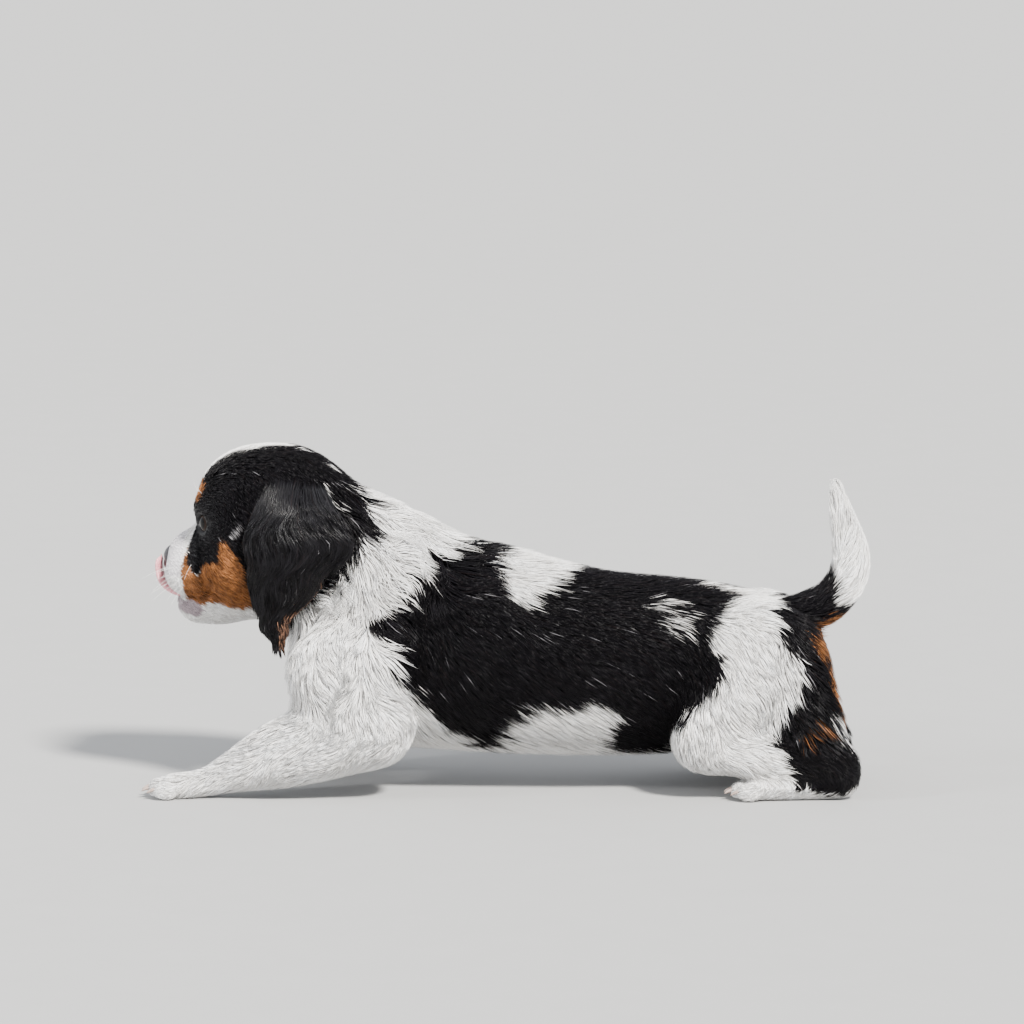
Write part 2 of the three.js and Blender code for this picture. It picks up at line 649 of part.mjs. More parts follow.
// Every piece by its name, made at a level: 0 is its own surface, GAP is how near a neighbour may come.
const foreAxis = { [LEFT]: FOREARM_REACHING, [RIGHT]: FOREARM_STANDING };
const toeTips = { [LEFT]: [-157, 32, 4.4], [RIGHT]: [-114, 35, 4.4] };
const pieces = {
  eye: (side, level) => {
    const radius = EYE.radius + level;
    return ball(toWorld(EYE.f, EYE.s * side, EYE.u), [radius, radius, radius], 0, 12, 7);
  },
  tongue: (side, level) => tongueShape(level),
  nose: (side, level) => noseShape(level),
  head: (side, level) => {
    const skull = wrap(fields.head, {
      axis: [toWorld(-14, 0, 2), toWorld(10, 0, -8), toWorld(27, 0, -18), toWorld(37, 0, -25)],
      rings: 12,
      sides: 24,
      caps: 3,
      reach: 60,
      level,
    });
    return level ? join([skull, lips(level)]) : join([skull, lips(0), ...pair(lids)]);
  },
  lower_jaw: (side, level) =>
    keep(
      wrap(fields.jaw, {
        axis: [toWorld(4, 0, -40), toWorld(22, 0, -42.5), toWorld(37, 0, -44)],
        rings: 7,
        sides: 16,
        caps: 3,
        reach: 30,
        level,
      }),
      throatBase,
      level,
    ),
  torso: (side, level) =>
    keep(
      wrap(fields.torso, {
        axis: [[-57, 0, 60], [30, 0, 59], [118, 0, 60]],
        rings: 12,
        sides: 24,
        caps: 3,
        reach: 90,
        level,
      }),
      neckBase,
      level,
    ),
  neck: (side, level) => {
    const whole = wrap(fields.neck, {
      axis: [[-38, 0, 86], [-66, 1, 103], toWorld(-8, 0, -12)],
      rings: 8,
      sides: 22,
      caps: 2,
      reach: 62,
      level,
    });
    return keep(keep(whole, flip(neckBase), level), flip(throatBase), level);
  },
  tail_base: (side, level) => keep(keep(tailShape(level), tailBase, level), flip(tailBend), level),
  tail: (side, level) => keep(tailShape(level), tailBend, level),
  thigh: (side, level) =>
    keep(
      wrap(fields.hindleg[side], {
        axis: [[117, -side * 20, 62], [110, -side * 25, 46], [97, -side * 31, 29]],
        rings: 8,
        sides: 18,
        caps: 2,
        reach: 50,
        level,
      }),
      stifleCut,
      level,
    ),
  shank: (side, level) => {
    const whole = wrap(fields.hindleg[side], {
      axis: [[94, -side * 34, 23], [122, -side * 36, 18.5], [150, -side * 36, 16]],
      rings: 7,
      sides: 14,
      caps: 2,
      reach: 22,
      level,
    });
    return keep(keep(whole, flip(stifleCut), level), hockCut, level);
  },
  hind_foot: (side, level) => {
    const sole = wrap(fields.hindfoot[side], {
      axis: [[151, -side * 36, 7], [132, -side * 36, 6.5], [114, -side * 37, 5.6]],
      rings: 6,
      sides: 12,
      caps: 2,
      reach: 16,
      level,
    });
    return onFloor(keep(sole, flip(hockCut), level).add(toes([109, 37, 4.2], side, 0.95, level)));
  },
  forearm: (side, level) => {
    const cuts = keep(forelegShape(side, level), flip(elbowCut), level);
    return onFloor(keep(cuts, wristCut[side], level));
  },
  front_paw: (side, level) => {
    const paw = largest(keep(forelegShape(side, level), flip(wristCut[side]), level));
    return onFloor(paw.add(toes(toeTips[side], side, 1, level)));
  },
  upper_arm: (side, level) =>
    keep(
      wrap(fields.foreleg[side], {
        axis: [[-60, -side * 26, 66], [-72, -side * 30, 54], [-68, -side * 33, 39]],
        rings: 6,
        sides: 16,
        caps: 2,
        reach: 34,
        level,
      }),
      elbowCut,
      level,
    ),
  ear: (side, level) => earShape(side, level),
};
function tailShape(level) {
  return wrap(fields.tail, {
    axis: TAIL.slice(0, -1).map(([x, y, z]) => [x, y, z]),
    rings: 13,
    sides: 12,
    caps: 2,
    reach: 17,
    level,
  });
}
function forelegShape(side, level) {
  return wrap(fields.foreleg[side], {
    axis: foreAxis[side].map(([x, y, z], i) => [i ? x : x + 2, -side * y, i ? z : z - 3]),
    rings: 11,
    sides: 14,
    caps: 2,
    reach: 30,
    level,
  });
}

// Each piece gives way to the ones named before it. The limbs keep to their own side of the middle.
const single = ["tongue", "nose", "head", "lower_jaw", "torso", "neck", "tail_base", "tail"];
const limbs = ["thigh", "shank", "hind_foot", "forearm", "front_paw", "upper_arm"];
const order = [
  ...["left", "right"].map((name) => ["eye", name]),
  ...single.map((piece) => [piece, ""]),
  ...[...limbs, "ear"].flatMap((piece) => ["left", "right"].map((name) => [piece, name])),
];

function boxesMeet(a, b) {
  const p = a.boundingBox();
  const q = b.boundingBox();
  return [0, 1, 2].every((i) => p.min[i] < q.max[i] && q.min[i] < p.max[i]);
}

const giveWay = (shape, others) =>
  others.reduce((rest, other) => (boxesMeet(rest, other) ? rest.subtract(other) : rest), shape);

const solids = new Map();
const grown = new Map();
for (const [piece, name] of order) {
  const side = name === "right" ? RIGHT : LEFT;
  const half = (shape, level) => (limbs.includes(piece) ? keep(shape, ownHalf(side), level) : shape);
  const title = name ? `${piece}_${name}` : piece;
  solids.set(title, largest(giveWay(half(pieces[piece](side, 0), 0), [...grown.values()])));
  grown.set(title, half(pieces[piece](side, GAP), GAP));
}

// The locks: where one would reach into a neighbour, or into its locks, it is cut back by the gap.
const grownLocks = [];
for (const [piece, name] of order) {
  if (piece !== "ear" && !LOCK_ROWS[piece]) continue;
  const side = name === "right" ? RIGHT : LEFT;
  const title = name ? `${piece}_${name}` : piece;
  const made = (level) => join(piece === "ear" ? locksOnEar(side, level) : locksOn(piece, side, level));
  const others = [...grown].filter(([other]) => other !== title).map(([, shape]) => shape);
  const locks = giveWay(made(0), [...others, ...grownLocks]);
  solids.set(title, largest(onFloor(solids.get(title).add(locks))));
  grownLocks.push(made(GAP));
}

// Colours, roughness and metalness
const finish = {
  black: { color: 0x15131a, roughness: 0.5, metalness: 0 },
  white: { color: 0xf0ece8, roughness: 0.7, metalness: 0 },
  leather: { color: 0x1d1719, roughness: 0.4, metalness: 0 },
  tongue: { color: 0xd98b93, roughness: 0.35, metalness: 0 },
  eye: { color: 0x140d0a, roughness: 0.08, metalness: 0 },
};
const finishOf = (name) => {
  if (name.startsWith("eye")) return "eye";
  if (name === "nose") return "leather";
  if (name === "tongue") return "tongue";
  return /^(head|ear|torso)/.test(name) ? "black" : "white";
};

const puppy = new THREE.Group();
for (const [name, shape] of solids) {
  const material = new THREE.MeshStandardMaterial(finish[finishOf(name)]);
  const mesh = new THREE.Mesh(geometryOf(shape.translate(CENTRE_SHIFT.toArray())), material);
  mesh.name = name;
  puppy.add(mesh);
}

export default puppy;
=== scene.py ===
# A tricolour spaniel puppy of about seven weeks, dressed over its solids: skin, coat, eyes, nose and claws.
# Lengths are millimetres in the body's own frame until a mesh is made.
import math

import bmesh
import bpy
import numpy as np
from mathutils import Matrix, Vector, kdtree


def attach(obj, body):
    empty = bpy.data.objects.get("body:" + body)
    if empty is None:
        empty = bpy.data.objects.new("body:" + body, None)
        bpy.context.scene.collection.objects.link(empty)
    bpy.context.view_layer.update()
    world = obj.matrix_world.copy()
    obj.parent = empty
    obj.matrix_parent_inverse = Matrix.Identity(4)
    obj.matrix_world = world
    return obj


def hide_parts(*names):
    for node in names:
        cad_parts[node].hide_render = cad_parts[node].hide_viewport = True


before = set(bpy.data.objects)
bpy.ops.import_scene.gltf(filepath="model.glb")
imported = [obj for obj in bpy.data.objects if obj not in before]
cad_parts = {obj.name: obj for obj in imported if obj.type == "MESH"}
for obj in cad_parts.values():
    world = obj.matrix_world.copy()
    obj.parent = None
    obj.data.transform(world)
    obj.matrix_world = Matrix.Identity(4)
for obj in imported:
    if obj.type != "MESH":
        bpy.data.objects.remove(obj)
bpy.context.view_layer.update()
print("frame loaded,", len(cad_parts), "nodes")

shiftX = 1.5  # the body's middle against the part's origin
headPlace = {"x": -108.0, "z": 128.0, "turn": math.radians(14)}
turnCos, turnSin = math.cos(headPlace["turn"]), math.sin(headPlace["turn"])
eye = {"f": 25.0, "s": 12.8, "u": -4.6, "radius": 7.2, "gaze": math.radians(44)}


def eyeMiddle(side):
    return np.array([eye["f"], side * eye["s"], eye["u"]])


def eyeWay(side):
    # where an eye looks, on the head's own axes
    return np.array([math.cos(eye["gaze"]), side * math.sin(eye["gaze"]), 0])


# Flesh.

# Chains of round sections: x, y, z, radius and width over height.
# Paired ones give y as the distance from the middle.
chains = {
    "trunk": [[-57, 0, 60, 41.5, .88], [-25, 0, 62, 45.5, .88], [5, 0, 61.5, 46.5, .88],
              [40, 0, 57.5, 43, .95], [78, 0, 56.5, 40.5, .95], [104, 0, 58, 34, .98],
              [120, 0, 60, 25.5, 1]],
    "neck": [[-92, 3, 121, 26.5, 1], [-62, 1, 107, 28, .98], [-34, 0, 90, 28.5, 1], [-8, 0, 74, 33, .98]],
    "ruff": [[-92, 2, 99, 20, 1.1], [-79, 0, 78, 24, 1.15], [-67, 0, 58, 31, 1.02]],
    "shoulder": [[-54, 25, 71, 16, 1], [-78, 29, 57, 18, 1]],
    "elbow": [[-80, 30, 56, 18, 1], [-64, 33, 37, 17.5, 1]],
    "forearmReaching": [[-62, 33, 32, 17.5, 1], [-84, 33, 26.5, 18, 1], [-104, 33, 20.5, 16, .95],
                        [-120, 32.5, 14.5, 11.5, .98], [-130, 32, 10.5, 8.5, 1], [-139, 32, 7.2, 6.6, 1.15],
                        [-148, 32, 5.6, 6.2, 1.45], [-154, 32, 5.2, 6, 1.6]],
    "forearmStanding": [[-60, 33, 32, 17, 1], [-76, 34, 25, 14.5, 1], [-89, 34.5, 16.5, 10.5, 1],
                        [-97, 35, 9.6, 7.6, 1.1], [-105, 35, 5.9, 6.5, 1.4], [-111, 35, 5.3, 6.1, 1.6]],
    "haunch": [[115, 19, 64, 24, 1], [103, 24, 48, 23, 1], [89, 32, 28, 15.5, 1]],
    "hamstring": [[122, 19, 58, 22.5, 1], [131, 24, 39, 20.5, 1], [140, 31, 25, 14, 1]],
    "shank": [[90, 33, 27, 14, 1], [112, 35, 21.5, 12.5, 1], [138, 36, 18.5, 11, 1], [150, 36, 16, 9.5, 1]],
    "hindFoot": [[151, 36, 9, 8.8, .95], [138, 36, 7, 7.5, 1], [120, 36.5, 6, 6.6, 1.3],
                 [113, 37, 5.6, 6.2, 1.5]],
    "tail": [[122, 0, 73, 13, 1], [138, 0, 80.5, 10.5, 1], [148, 0, 86.5, 9.3, 1], [155.5, 0, 96.5, 9, 1],
             [157, 0, 107.5, 8.6, 1], [154.5, 0, 119, 7, 1], [151.5, 0, 130.5, 5, 1], [150, 0, 140, 2.8, 1]],
}
# What flows into what: name, blend with the ones before it in its group, and the side, 1 for the left one.
groups = [
    {"join": 6, "masses": [("trunk", 6, 1), ("neck", 14, 1), ("ruff", 12, 1)]},
    {"join": 7, "masses": [("shoulder", 10, 1), ("elbow", 22, 1), ("forearmReaching", 12, 1)]},
    {"join": 7, "masses": [("shoulder", 10, -1), ("elbow", 22, -1), ("forearmStanding", 12, -1)]},
    {"join": 7, "masses": [("haunch", 10, 1), ("hamstring", 16, 1), ("shank", 8, 1), ("hindFoot", 5, 1)]},
    {"join": 7, "masses": [("haunch", 10, -1), ("hamstring", 16, -1), ("shank", 8, -1), ("hindFoot", 5, -1)]},
    {"join": 5, "masses": [("tail", 6, 1)]},
]
toes = {"radii": np.array([6.2, 3.784, 4.84]), "core": np.array([5.6, 3.6, 4.2]), "blend": 1.2, "margin": 12,
        "spread": [-7.2, -2.6, 2.6, 7.2], "lead": [0, 2.6, 2.6, 0],
        "feet": [(-157, -32, 4.4, 1.0), (-114, 35, 4.4, 1.0), (109, -37, 4.2, .95), (109, 37, 4.2, .95)]}

# The head's masses on its own axes: f forwards, s to its left, u up, then the three radii and the blend.
headEggs = [[-1.5, 0, .5, 35.5, 30, 31, 8], [14, 0, 6.5, 20.5, 23.5, 20.5, 8], [24, 0, -13, 13, 12.5, 11, 8],
            [24, 13, 1.5, 10.5, 9.5, 9.5, 5], [24, -13, 1.5, 10.5, 9.5, 9.5, 5],
            [8, 14, -20.5, 24, 16.5, 22.5, 8], [8, -14, -20.5, 24, 16.5, 22.5, 8],
            [37, 0, -24, 15.2, 15, 14.4, 8],
            [36, 8, -30.5, 14.2, 9.5, 10.5, 5], [36, -8, -30.5, 14.2, 9.5, 10.5, 5]]
jawEggs = [[28, 0, -42.8, 18.5, 13.5, 11.2, 4], [37.2, 0, -45, 8.4, 9.5, 7.8, 4],
           [2, 0, -37, 28, 19.5, 14, 6]]
eyeBowls = [[*(eyeMiddle(side) + eyeWay(side) * (eye["radius"] + 3.4)), 6.4, 6.4, 6.1, 1.5]
            for side in (1, -1)]
lidRoll = {"radius": 5.35, "thick": 1.2, "tall": .9, "forward": .69, "blend": 1.2}
headBlend = 8


def toHead(p):
    x = p[:, 0] - headPlace["x"]
    forward = -x * turnCos + p[:, 1] * turnSin
    across = -x * turnSin - p[:, 1] * turnCos
    return np.stack([forward, across, p[:, 2] - headPlace["z"]], 1)


def fromHead(h):
    return np.stack([headPlace["x"] - h[:, 0] * turnCos - h[:, 1] * turnSin,
                     h[:, 0] * turnSin - h[:, 1] * turnCos, headPlace["z"] + h[:, 2]], 1)


def headWay(f, s, u):
    return np.array([-f * turnCos - s * turnSin, f * turnSin - s * turnCos, u])


def spline(rows, steps):
    p = np.array(rows, float)
    q = np.vstack([2 * p[0] - p[1], p, 2 * p[-1] - p[-2]])
    t = np.linspace(0, len(p) - 1, (len(p) - 1) * steps + 1)
    i = np.minimum(t.astype(int), len(p) - 2)
    w = (t - i)[:, None]
    a, b, c, d = q[i], q[i + 1], q[i + 2], q[i + 3]
    return .5 * (2 * b + (c - a) * w + (2 * a - 5 * b + 4 * c - d) * w**2 + (3 * b - a - 3 * c + d) * w**3)


def between(rows, t):
    # the row at t, where t counts rows and may lie between two
    i = np.minimum(t.astype(int), len(rows) - 2)
    return rows[i] + (rows[i + 1] - rows[i]) * (t - i)[:, None]


def bodyLine(name, side, steps=3):
    rows = np.array(chains[name], float)
    rows[:, 1] *= -side
    return spline(rows, steps).astype(np.float32)


def chainDistance(p, line):
    least = np.full(len(p), 1e3, np.float32)
    for a, b in zip(line[:-1], line[1:]):
        d = b[:3] - a[:3]
        q = p - a[:3]
        t = np.clip(q @ d / (d @ d), 0, 1)
        q -= t[:, None] * d
        width = a[4] + (b[4] - a[4]) * t
        q[:, 1] /= width
        away = np.sqrt(np.einsum("ij,ij->i", q, q)) - (a[3] + (b[3] - a[3]) * t)
        np.minimum(least, away * np.minimum(1, width), out=least)
    return least


def eggDistance(h, egg):
    q = (h - np.float32(egg[:3])) / np.float32(egg[3:6])
    near = np.sqrt(np.einsum("ij,ij->i", q, q))
    q /= np.float32(egg[3:6])
    slope = np.sqrt(np.einsum("ij,ij->i", q, q))
    return near * (near - 1) / np.maximum(slope, 1e-5)


def smoothLeast(a, b, blend):
    share = np.maximum(blend - np.abs(a - b), 0) / blend
    return np.minimum(a, b) - share * share * blend / 4


def joinEggs(h, eggs):
    d = np.full(len(h), 1e3, np.float32)
    for egg in eggs:
        d = smoothLeast(d, eggDistance(h, egg), egg[6])
    return d


def toeSpots():
    # the middle of every toe, and the size of its foot
    for x, y, z, grow in toes["feet"]:
        for across, lead in zip(toes["spread"], toes["lead"]):
            yield np.array([x - lead, y + across * grow, z]), grow


def headFlesh(p, lids=True):
    h = toHead(p)
    d = joinEggs(h, headEggs)
    for bowl in eyeBowls:
        d = -smoothLeast(-d, eggDistance(h, bowl), bowl[6])
    for side in (1, -1) if lids else ():
        way = eyeWay(side)
        q = h - eyeMiddle(side)
        out = q @ way - math.hypot(eye["radius"], lidRoll["radius"]) * lidRoll["forward"]
        across = np.hypot(q[:, 1] * way[0] - q[:, 0] * way[1], q[:, 2] / lidRoll["tall"])
        ring = np.hypot(across - lidRoll["radius"], out) - lidRoll["thick"]
        d = smoothLeast(d, ring, lidRoll["blend"])
    return smoothLeast(d, joinEggs(h, jawEggs), 1.0)


volume = {"low": np.array([-176, -62, -6], np.float32), "high": np.array([176, 62, 168], np.float32),
          "step": 1.3, "far": 60, "margin": 14, "head": ([-180, -62, 60], [-50, 62, 170])}
labels = list(chains) + ["toe"]


def fillVolume():
    # the height over the flesh on a grid of places, and the mass nearest to each
    step = volume["step"]
    size = np.ceil((volume["high"] - volume["low"]) / step).astype(int) + 1
    axes = [volume["low"][i] + np.arange(size[i], dtype=np.float32) * step for i in range(3)]
    whole = np.full(size, volume["far"], np.float32)
    nearest = whole.copy()
    label = np.zeros(size, np.int8)

    def block(low, high):
        first = np.clip(((low - volume["low"]) / step).astype(int), 0, size - 1)
        last = np.clip(((high - volume["low"]) / step).astype(int) + 2, 1, size)
        cut = tuple(slice(a, b) for a, b in zip(first, last))
        corners = np.meshgrid(*[axes[i][cut[i]] for i in range(3)], indexing="ij")
        return cut, np.stack([c.ravel() for c in corners], 1), corners[0].shape

    def claim(cut, d, name):
        label[cut][d < nearest[cut]] = labels.index(name)
        nearest[cut] = np.minimum(nearest[cut], d)

    for group in groups:
        made = np.full(size, volume["far"], np.float32)
        for name, blend, side in group["masses"]:
            line = bodyLine(name, side)
            reach = (line[:, 3] * np.maximum(1, line[:, 4])).max() + volume["margin"]
            cut, points, shape = block(line[:, :3].min(0) - reach, line[:, :3].max(0) + reach)
            d = chainDistance(points, line).reshape(shape)
            made[cut] = smoothLeast(made[cut], d, blend)
            claim(cut, d, name)
        whole = smoothLeast(whole, made, group["join"])
    for middle, grow in toeSpots():
        cut, points, shape = block(middle - toes["margin"], middle + toes["margin"])
        d = eggDistance(points, [*middle, *toes["radii"] * grow]).reshape(shape)
        whole[cut] = smoothLeast(whole[cut], d, toes["blend"])
        claim(cut, d, "toe")
    cut, points, shape = block(*np.array(volume["head"]))
    joined = whole.copy()
    joined[cut] = smoothLeast(whole[cut], headFlesh(points, False).reshape(shape), headBlend)
    volume.update(size=size, body=whole, whole=joined, label=label)


def lookUp(p, kind="whole"):
    # height over the flesh and its slope, between the measured places
    q = (p - volume["low"]) / volume["step"]
    i = np.clip(q.astype(np.int32), 0, volume["size"] - 2)
    wx, wy, wz = np.clip(q - i, 0, 1).astype(np.float32).T
    tall, deep = int(volume["size"][1]), int(volume["size"][2])
    base = (i[:, 0] * tall + i[:, 1]) * deep + i[:, 2]
    v = volume[kind].ravel()
    a, b, c, d = v[base], v[base + 1], v[base + deep], v[base + deep + 1]
    base = base + tall * deep
    e, f, g, h = v[base], v[base + 1], v[base + deep], v[base + deep + 1]
    ae, bf, cg, dh = a + (e - a) * wx, b + (f - b) * wx, c + (g - c) * wx, d + (h - d) * wx
    low, high = ae + (cg - ae) * wy, bf + (dh - bf) * wy
    sx = ((e - a) * (1 - wy) + (g - c) * wy) * (1 - wz) + ((f - b) * (1 - wy) + (h - d) * wy) * wz
    sy = (cg - ae) * (1 - wz) + (dh - bf) * wz
    return low + (high - low) * wz, np.stack([sx, sy, high - low], 1) / volume["step"]


def bodyHeight(p):
    # the height over the flesh without the head
    return lookUp(p, "body")[0]


faceSpec = {"before": -112, "over": 70, "step": .5}


def flesh(p):
    # the height over the whole flesh with its slope, measured afresh on the face
    d, way = lookUp(p)
    face = np.flatnonzero((p[:, 0] < faceSpec["before"]) & (p[:, 2] > faceSpec["over"]))
    if len(face):
        step = faceSpec["step"]
        corners = np.array([[1, -1, -1], [-1, -1, 1], [-1, 1, -1], [1, 1, 1]], np.float32)
        heights = []
        for corner in corners:
            q = p[face] + corner * step
            heights.append(smoothLeast(bodyHeight(q), headFlesh(q), headBlend))
        d[face] = sum(heights) / 4
        way[face] = sum(height[:, None] * corner for height, corner in zip(heights, corners)) / (4 * step)
    return d, way


def unit(v):
    return v / np.maximum(np.linalg.norm(v, axis=-1, keepdims=True), 1e-9)


def ripple(p, scale, seed):
    # even waves through space in five directions, about -1 to 1
    rng = np.random.default_rng(seed)
    total = np.zeros(len(p))
    for turn in range(5):
        way = unit(rng.normal(size=3))
        total += np.sin(p @ way * (2 * math.pi / scale) * rng.uniform(.6, 1.5) + rng.uniform(0, 6.28))
    return total / 2.2


fillVolume()
print("flesh measured on", volume["whole"].size, "places")

# Markings.

# Outlines of the patches as they lie in the side view, in the photograph's own units.
patches = {
    "headBlack": [(190.5, 526), (187.5, 545), (189, 560), (192, 572), (199, 577), (203, 566), (222, 563),
                  (221, 545), (226, 543), (243, 560), (248, 575), (252, 590), (257, 612), (263, 630),
                  (272, 650), (283, 660), (290, 640), (290, 625), (299, 604), (318, 592), (332, 581),
                  (342, 571), (356, 560), (366, 549), (374, 538), (376, 523), (368, 503), (357, 486),
                  (346, 470), (330, 445), (180, 425), (180, 505)],
    "cheekTan": [(187, 548), (190, 565), (192, 573), (199, 578), (203, 566), (222, 563), (220, 545),
                 (226, 542), (243, 560), (248, 575), (252, 590), (258, 604), (250, 606), (242, 610),
                 (231, 608), (218, 602), (207, 602), (200, 605), (190, 602), (182, 590), (181, 578),
                 (183, 568), (186, 556)],
    "browTan": [(188, 503), (191, 490), (196, 479), (205, 479), (204, 491), (198, 503)],
    "lipGrey": [(175, 597), (190, 601), (200, 604), (204, 610), (197, 616), (186, 613), (176, 607)],
    "saddle": [(475, 525), (472, 541), (445, 551), (420, 570), (407, 588), (392, 610), (376, 622),
               (380, 642), (392, 665), (399, 688), (418, 702), (440, 722), (470, 740), (500, 748),
               (508, 724), (525, 712), (560, 704), (600, 705), (616, 713), (606, 735), (602, 762),
               (640, 768), (666, 756), (676, 731), (691, 710), (716, 690), (726, 671), (705, 650),
               (721, 616), (736, 595), (684, 577), (688, 548), (600, 520)],
    "spineSpot": [(497, 566), (504, 552), (500, 520), (580, 530), (577, 568), (563, 581), (545, 592),
                  (525, 601), (506, 598), (499, 582)],
    "rump": [(776, 598), (786, 582), (800, 570), (832, 572), (842, 600), (850, 640), (866, 700),
             (868, 735), (866, 790), (794, 790), (788, 766), (768, 747), (779, 720), (796, 690),
             (796, 660), (776, 636)],
    "tailRoot": [(786, 592), (796, 570), (815, 570), (824, 583), (828, 594), (842, 606), (862, 612),
                 (858, 632), (835, 645), (806, 648), (792, 620)],
    "rearTan": [(812, 634), (822, 620), (870, 612), (872, 640), (852, 644), (850, 690), (849, 716),
                (838, 722), (833, 700), (826, 672), (816, 650)],
    "hockWhite": [(838, 718), (852, 718), (854, 744), (840, 744)],
}
streaks = [(650, 606, 690, 604, 1.6, "white"), (656, 613, 684, 612, 1.3, "white"),
           (658, 622, 694, 619, 1.5, "white"), (664, 630, 692, 628, 1.2, "white"),
           (668, 640, 690, 639, 1.1, "white"), (520, 604, 534, 600, 1.2, "white"),
           (234, 537, 241, 525, 1.3, "grey"), (800, 733, 826, 727, 2.0, "tan"),
           (324, 486, 339, 511, 1.3, "white"), (314, 482, 321, 498, .9, "grey"),
           (330, 515, 334, 530, 1.0, "grey"), (300, 533, 309, 549, 1.1, "grey"),
           (256, 716, 266, 726, 2.2, "grey"), (250, 740, 256, 748, 1.4, "grey"),
           (405, 706, 428, 700, 2.2, "white"), (408, 716, 432, 712, 2.4, "white"),
           (410, 726, 428, 726, 1.8, "white"), (404, 696, 420, 688, 1.6, "white")]
blaze = [(-60, 0), (-9, 0), (-4, 3), (3, 5), (12, 6), (22, 5.5), (31, 4), (36, 5), (40, 30), (60, 30)]
# shade is a painted shade: a lavender grey laid over the white on the front of the muzzle
coats = {"black": (.0036, .0031, .0042), "white": (.90, .88, .855), "tan": (.27, .105, .034),
         "earTan": (.17, .085, .05), "lip": (.40, .33, .355), "shade": (.66, .62, .70),
         "grey": (.30, .29, .30)}
# The photograph's frame: millimetres to a unit, where the origin lies, and how height and width rise in it.
sideView = {"scale": .46, "originX": 510, "originY": 786, "height": .99, "width": .139}
# How far the patches' edges wander, as a distance, a wave's length and a seed, the last only on the right.
wander = {"along": [(4.5, 13, 71), (2.0, 5, 72), (9, 90, 73)],
          "up": [(3.5, 11, 74), (2.0, 4.5, 75), (7, 70, 76)], "seed": 5}


def inside(px, py, outline):
    hit = np.zeros(len(px), bool)
    for (x1, y1), (x2, y2) in zip(outline, outline[1:] + outline[:1]):
        if y1 == y2:
            continue
        crosses = (y1 > py) != (y2 > py)
        hit ^= crosses & (px < (x2 - x1) * (py - y1) / (y2 - y1) + x1)
    return hit


def wandered(p, rows, right):
    fine, finer, broad = (height * ripple(p, wave, seed) for height, wave, seed in rows)
    return fine + finer + right * broad


def markings(p, loose=0.0):
    # both sides carry the left side's patches, with their edges and places a little different on the right
    rng = np.random.default_rng(wander["seed"])
    h = toHead(p)
    onHead = (headFlesh(p, False) < bodyHeight(p) + 3) & (h[:, 0] > -32)
    left = p.copy()
    left[:, 1] = -np.abs(p[:, 1])
    mirrored = h.copy()
    mirrored[:, 1] = np.abs(h[:, 1])
    left[onHead] = fromHead(mirrored[onHead])
    px = left[:, 0] / sideView["scale"] + sideView["originX"]
    rise = left[:, 2] * sideView["height"] + left[:, 1] * sideView["width"]
    py = sideView["originY"] - rise / sideView["scale"]
    right = np.where(onHead, h[:, 1] < 0, p[:, 1] > 0)
    body = np.where(onHead, .35, 1.0)
    px = px + body * wandered(p, wander["along"], right)
    py = py + body * wandered(p, wander["up"], right)
    if loose:
        px = px + rng.normal(size=len(p)) * loose * body
        py = py + rng.normal(size=len(p)) * loose * body
    tone = np.tile(np.array(coats["white"]), (len(p), 1))

    def paint(mask, name, strength):
        tone[mask] = tone[mask] * (1 - strength) + np.array(coats[name]) * strength

    under = (p[:, 2] < 19) & (np.abs(p[:, 1]) < 30) & (p[:, 0] > -60) & (p[:, 0] < 88)
    nearHead = p[:, 0] < -60
    half = np.interp(h[:, 0], [f for f, wide in blaze], [wide for f, wide in blaze]) + .8 * ripple(p, 7, 77)
    band = (np.abs(h[:, 1]) < half) & (h[:, 2] > -14) & nearHead
    layers = [("saddle", ~onHead & ~under, "black", 1), ("spineSpot", ~onHead, "white", 1),
              ("rump", ~onHead, "black", 1), ("tailRoot", ~onHead, "black", 1),
              ("rearTan", ~onHead, "tan", .85), ("hockWhite", ~onHead, "white", 1),
              ("headBlack", nearHead & ~band, "black", 1), ("cheekTan", onHead, "tan", 1),
              ("browTan", onHead & (np.abs(h[:, 1]) > 8), "tan", .8),
              ("lipGrey", onHead & (h[:, 2] < -39), "lip", 1)]
    for patch, where, name, strength in layers:
        paint(inside(px, py, patches[patch]) & where, name, strength)
    # painted shade: the front of the muzzle, white in the markings, is greyed towards lavender
    paint(onHead & (h[:, 0] > 41) & (h[:, 2] > -30), "shade", .45)
    for x1, y1, x2, y2, wide, name in streaks:
        along = ((px - x1) * (x2 - x1) + (py - y1) * (y2 - y1)) / ((x2 - x1) ** 2 + (y2 - y1) ** 2)
        along = np.clip(along, 0, 1)
        off = np.hypot(px - x1 - along * (x2 - x1), py - y1 - along * (y2 - y1))
        paint((off < wide) & ~right, name, .8)
    return tone


# Skin.

# shade darkens the skin's colours, a painted shade under the coat
skinSpec = {"voxel": 1.6, "passes": 7, "smoothing": 30, "combing": 14, "fineForward": 20, "fineBefore": -118,
            "shade": .8}
traits = ["depth", "length", "width", "density", "lift", "wave", "clump"]
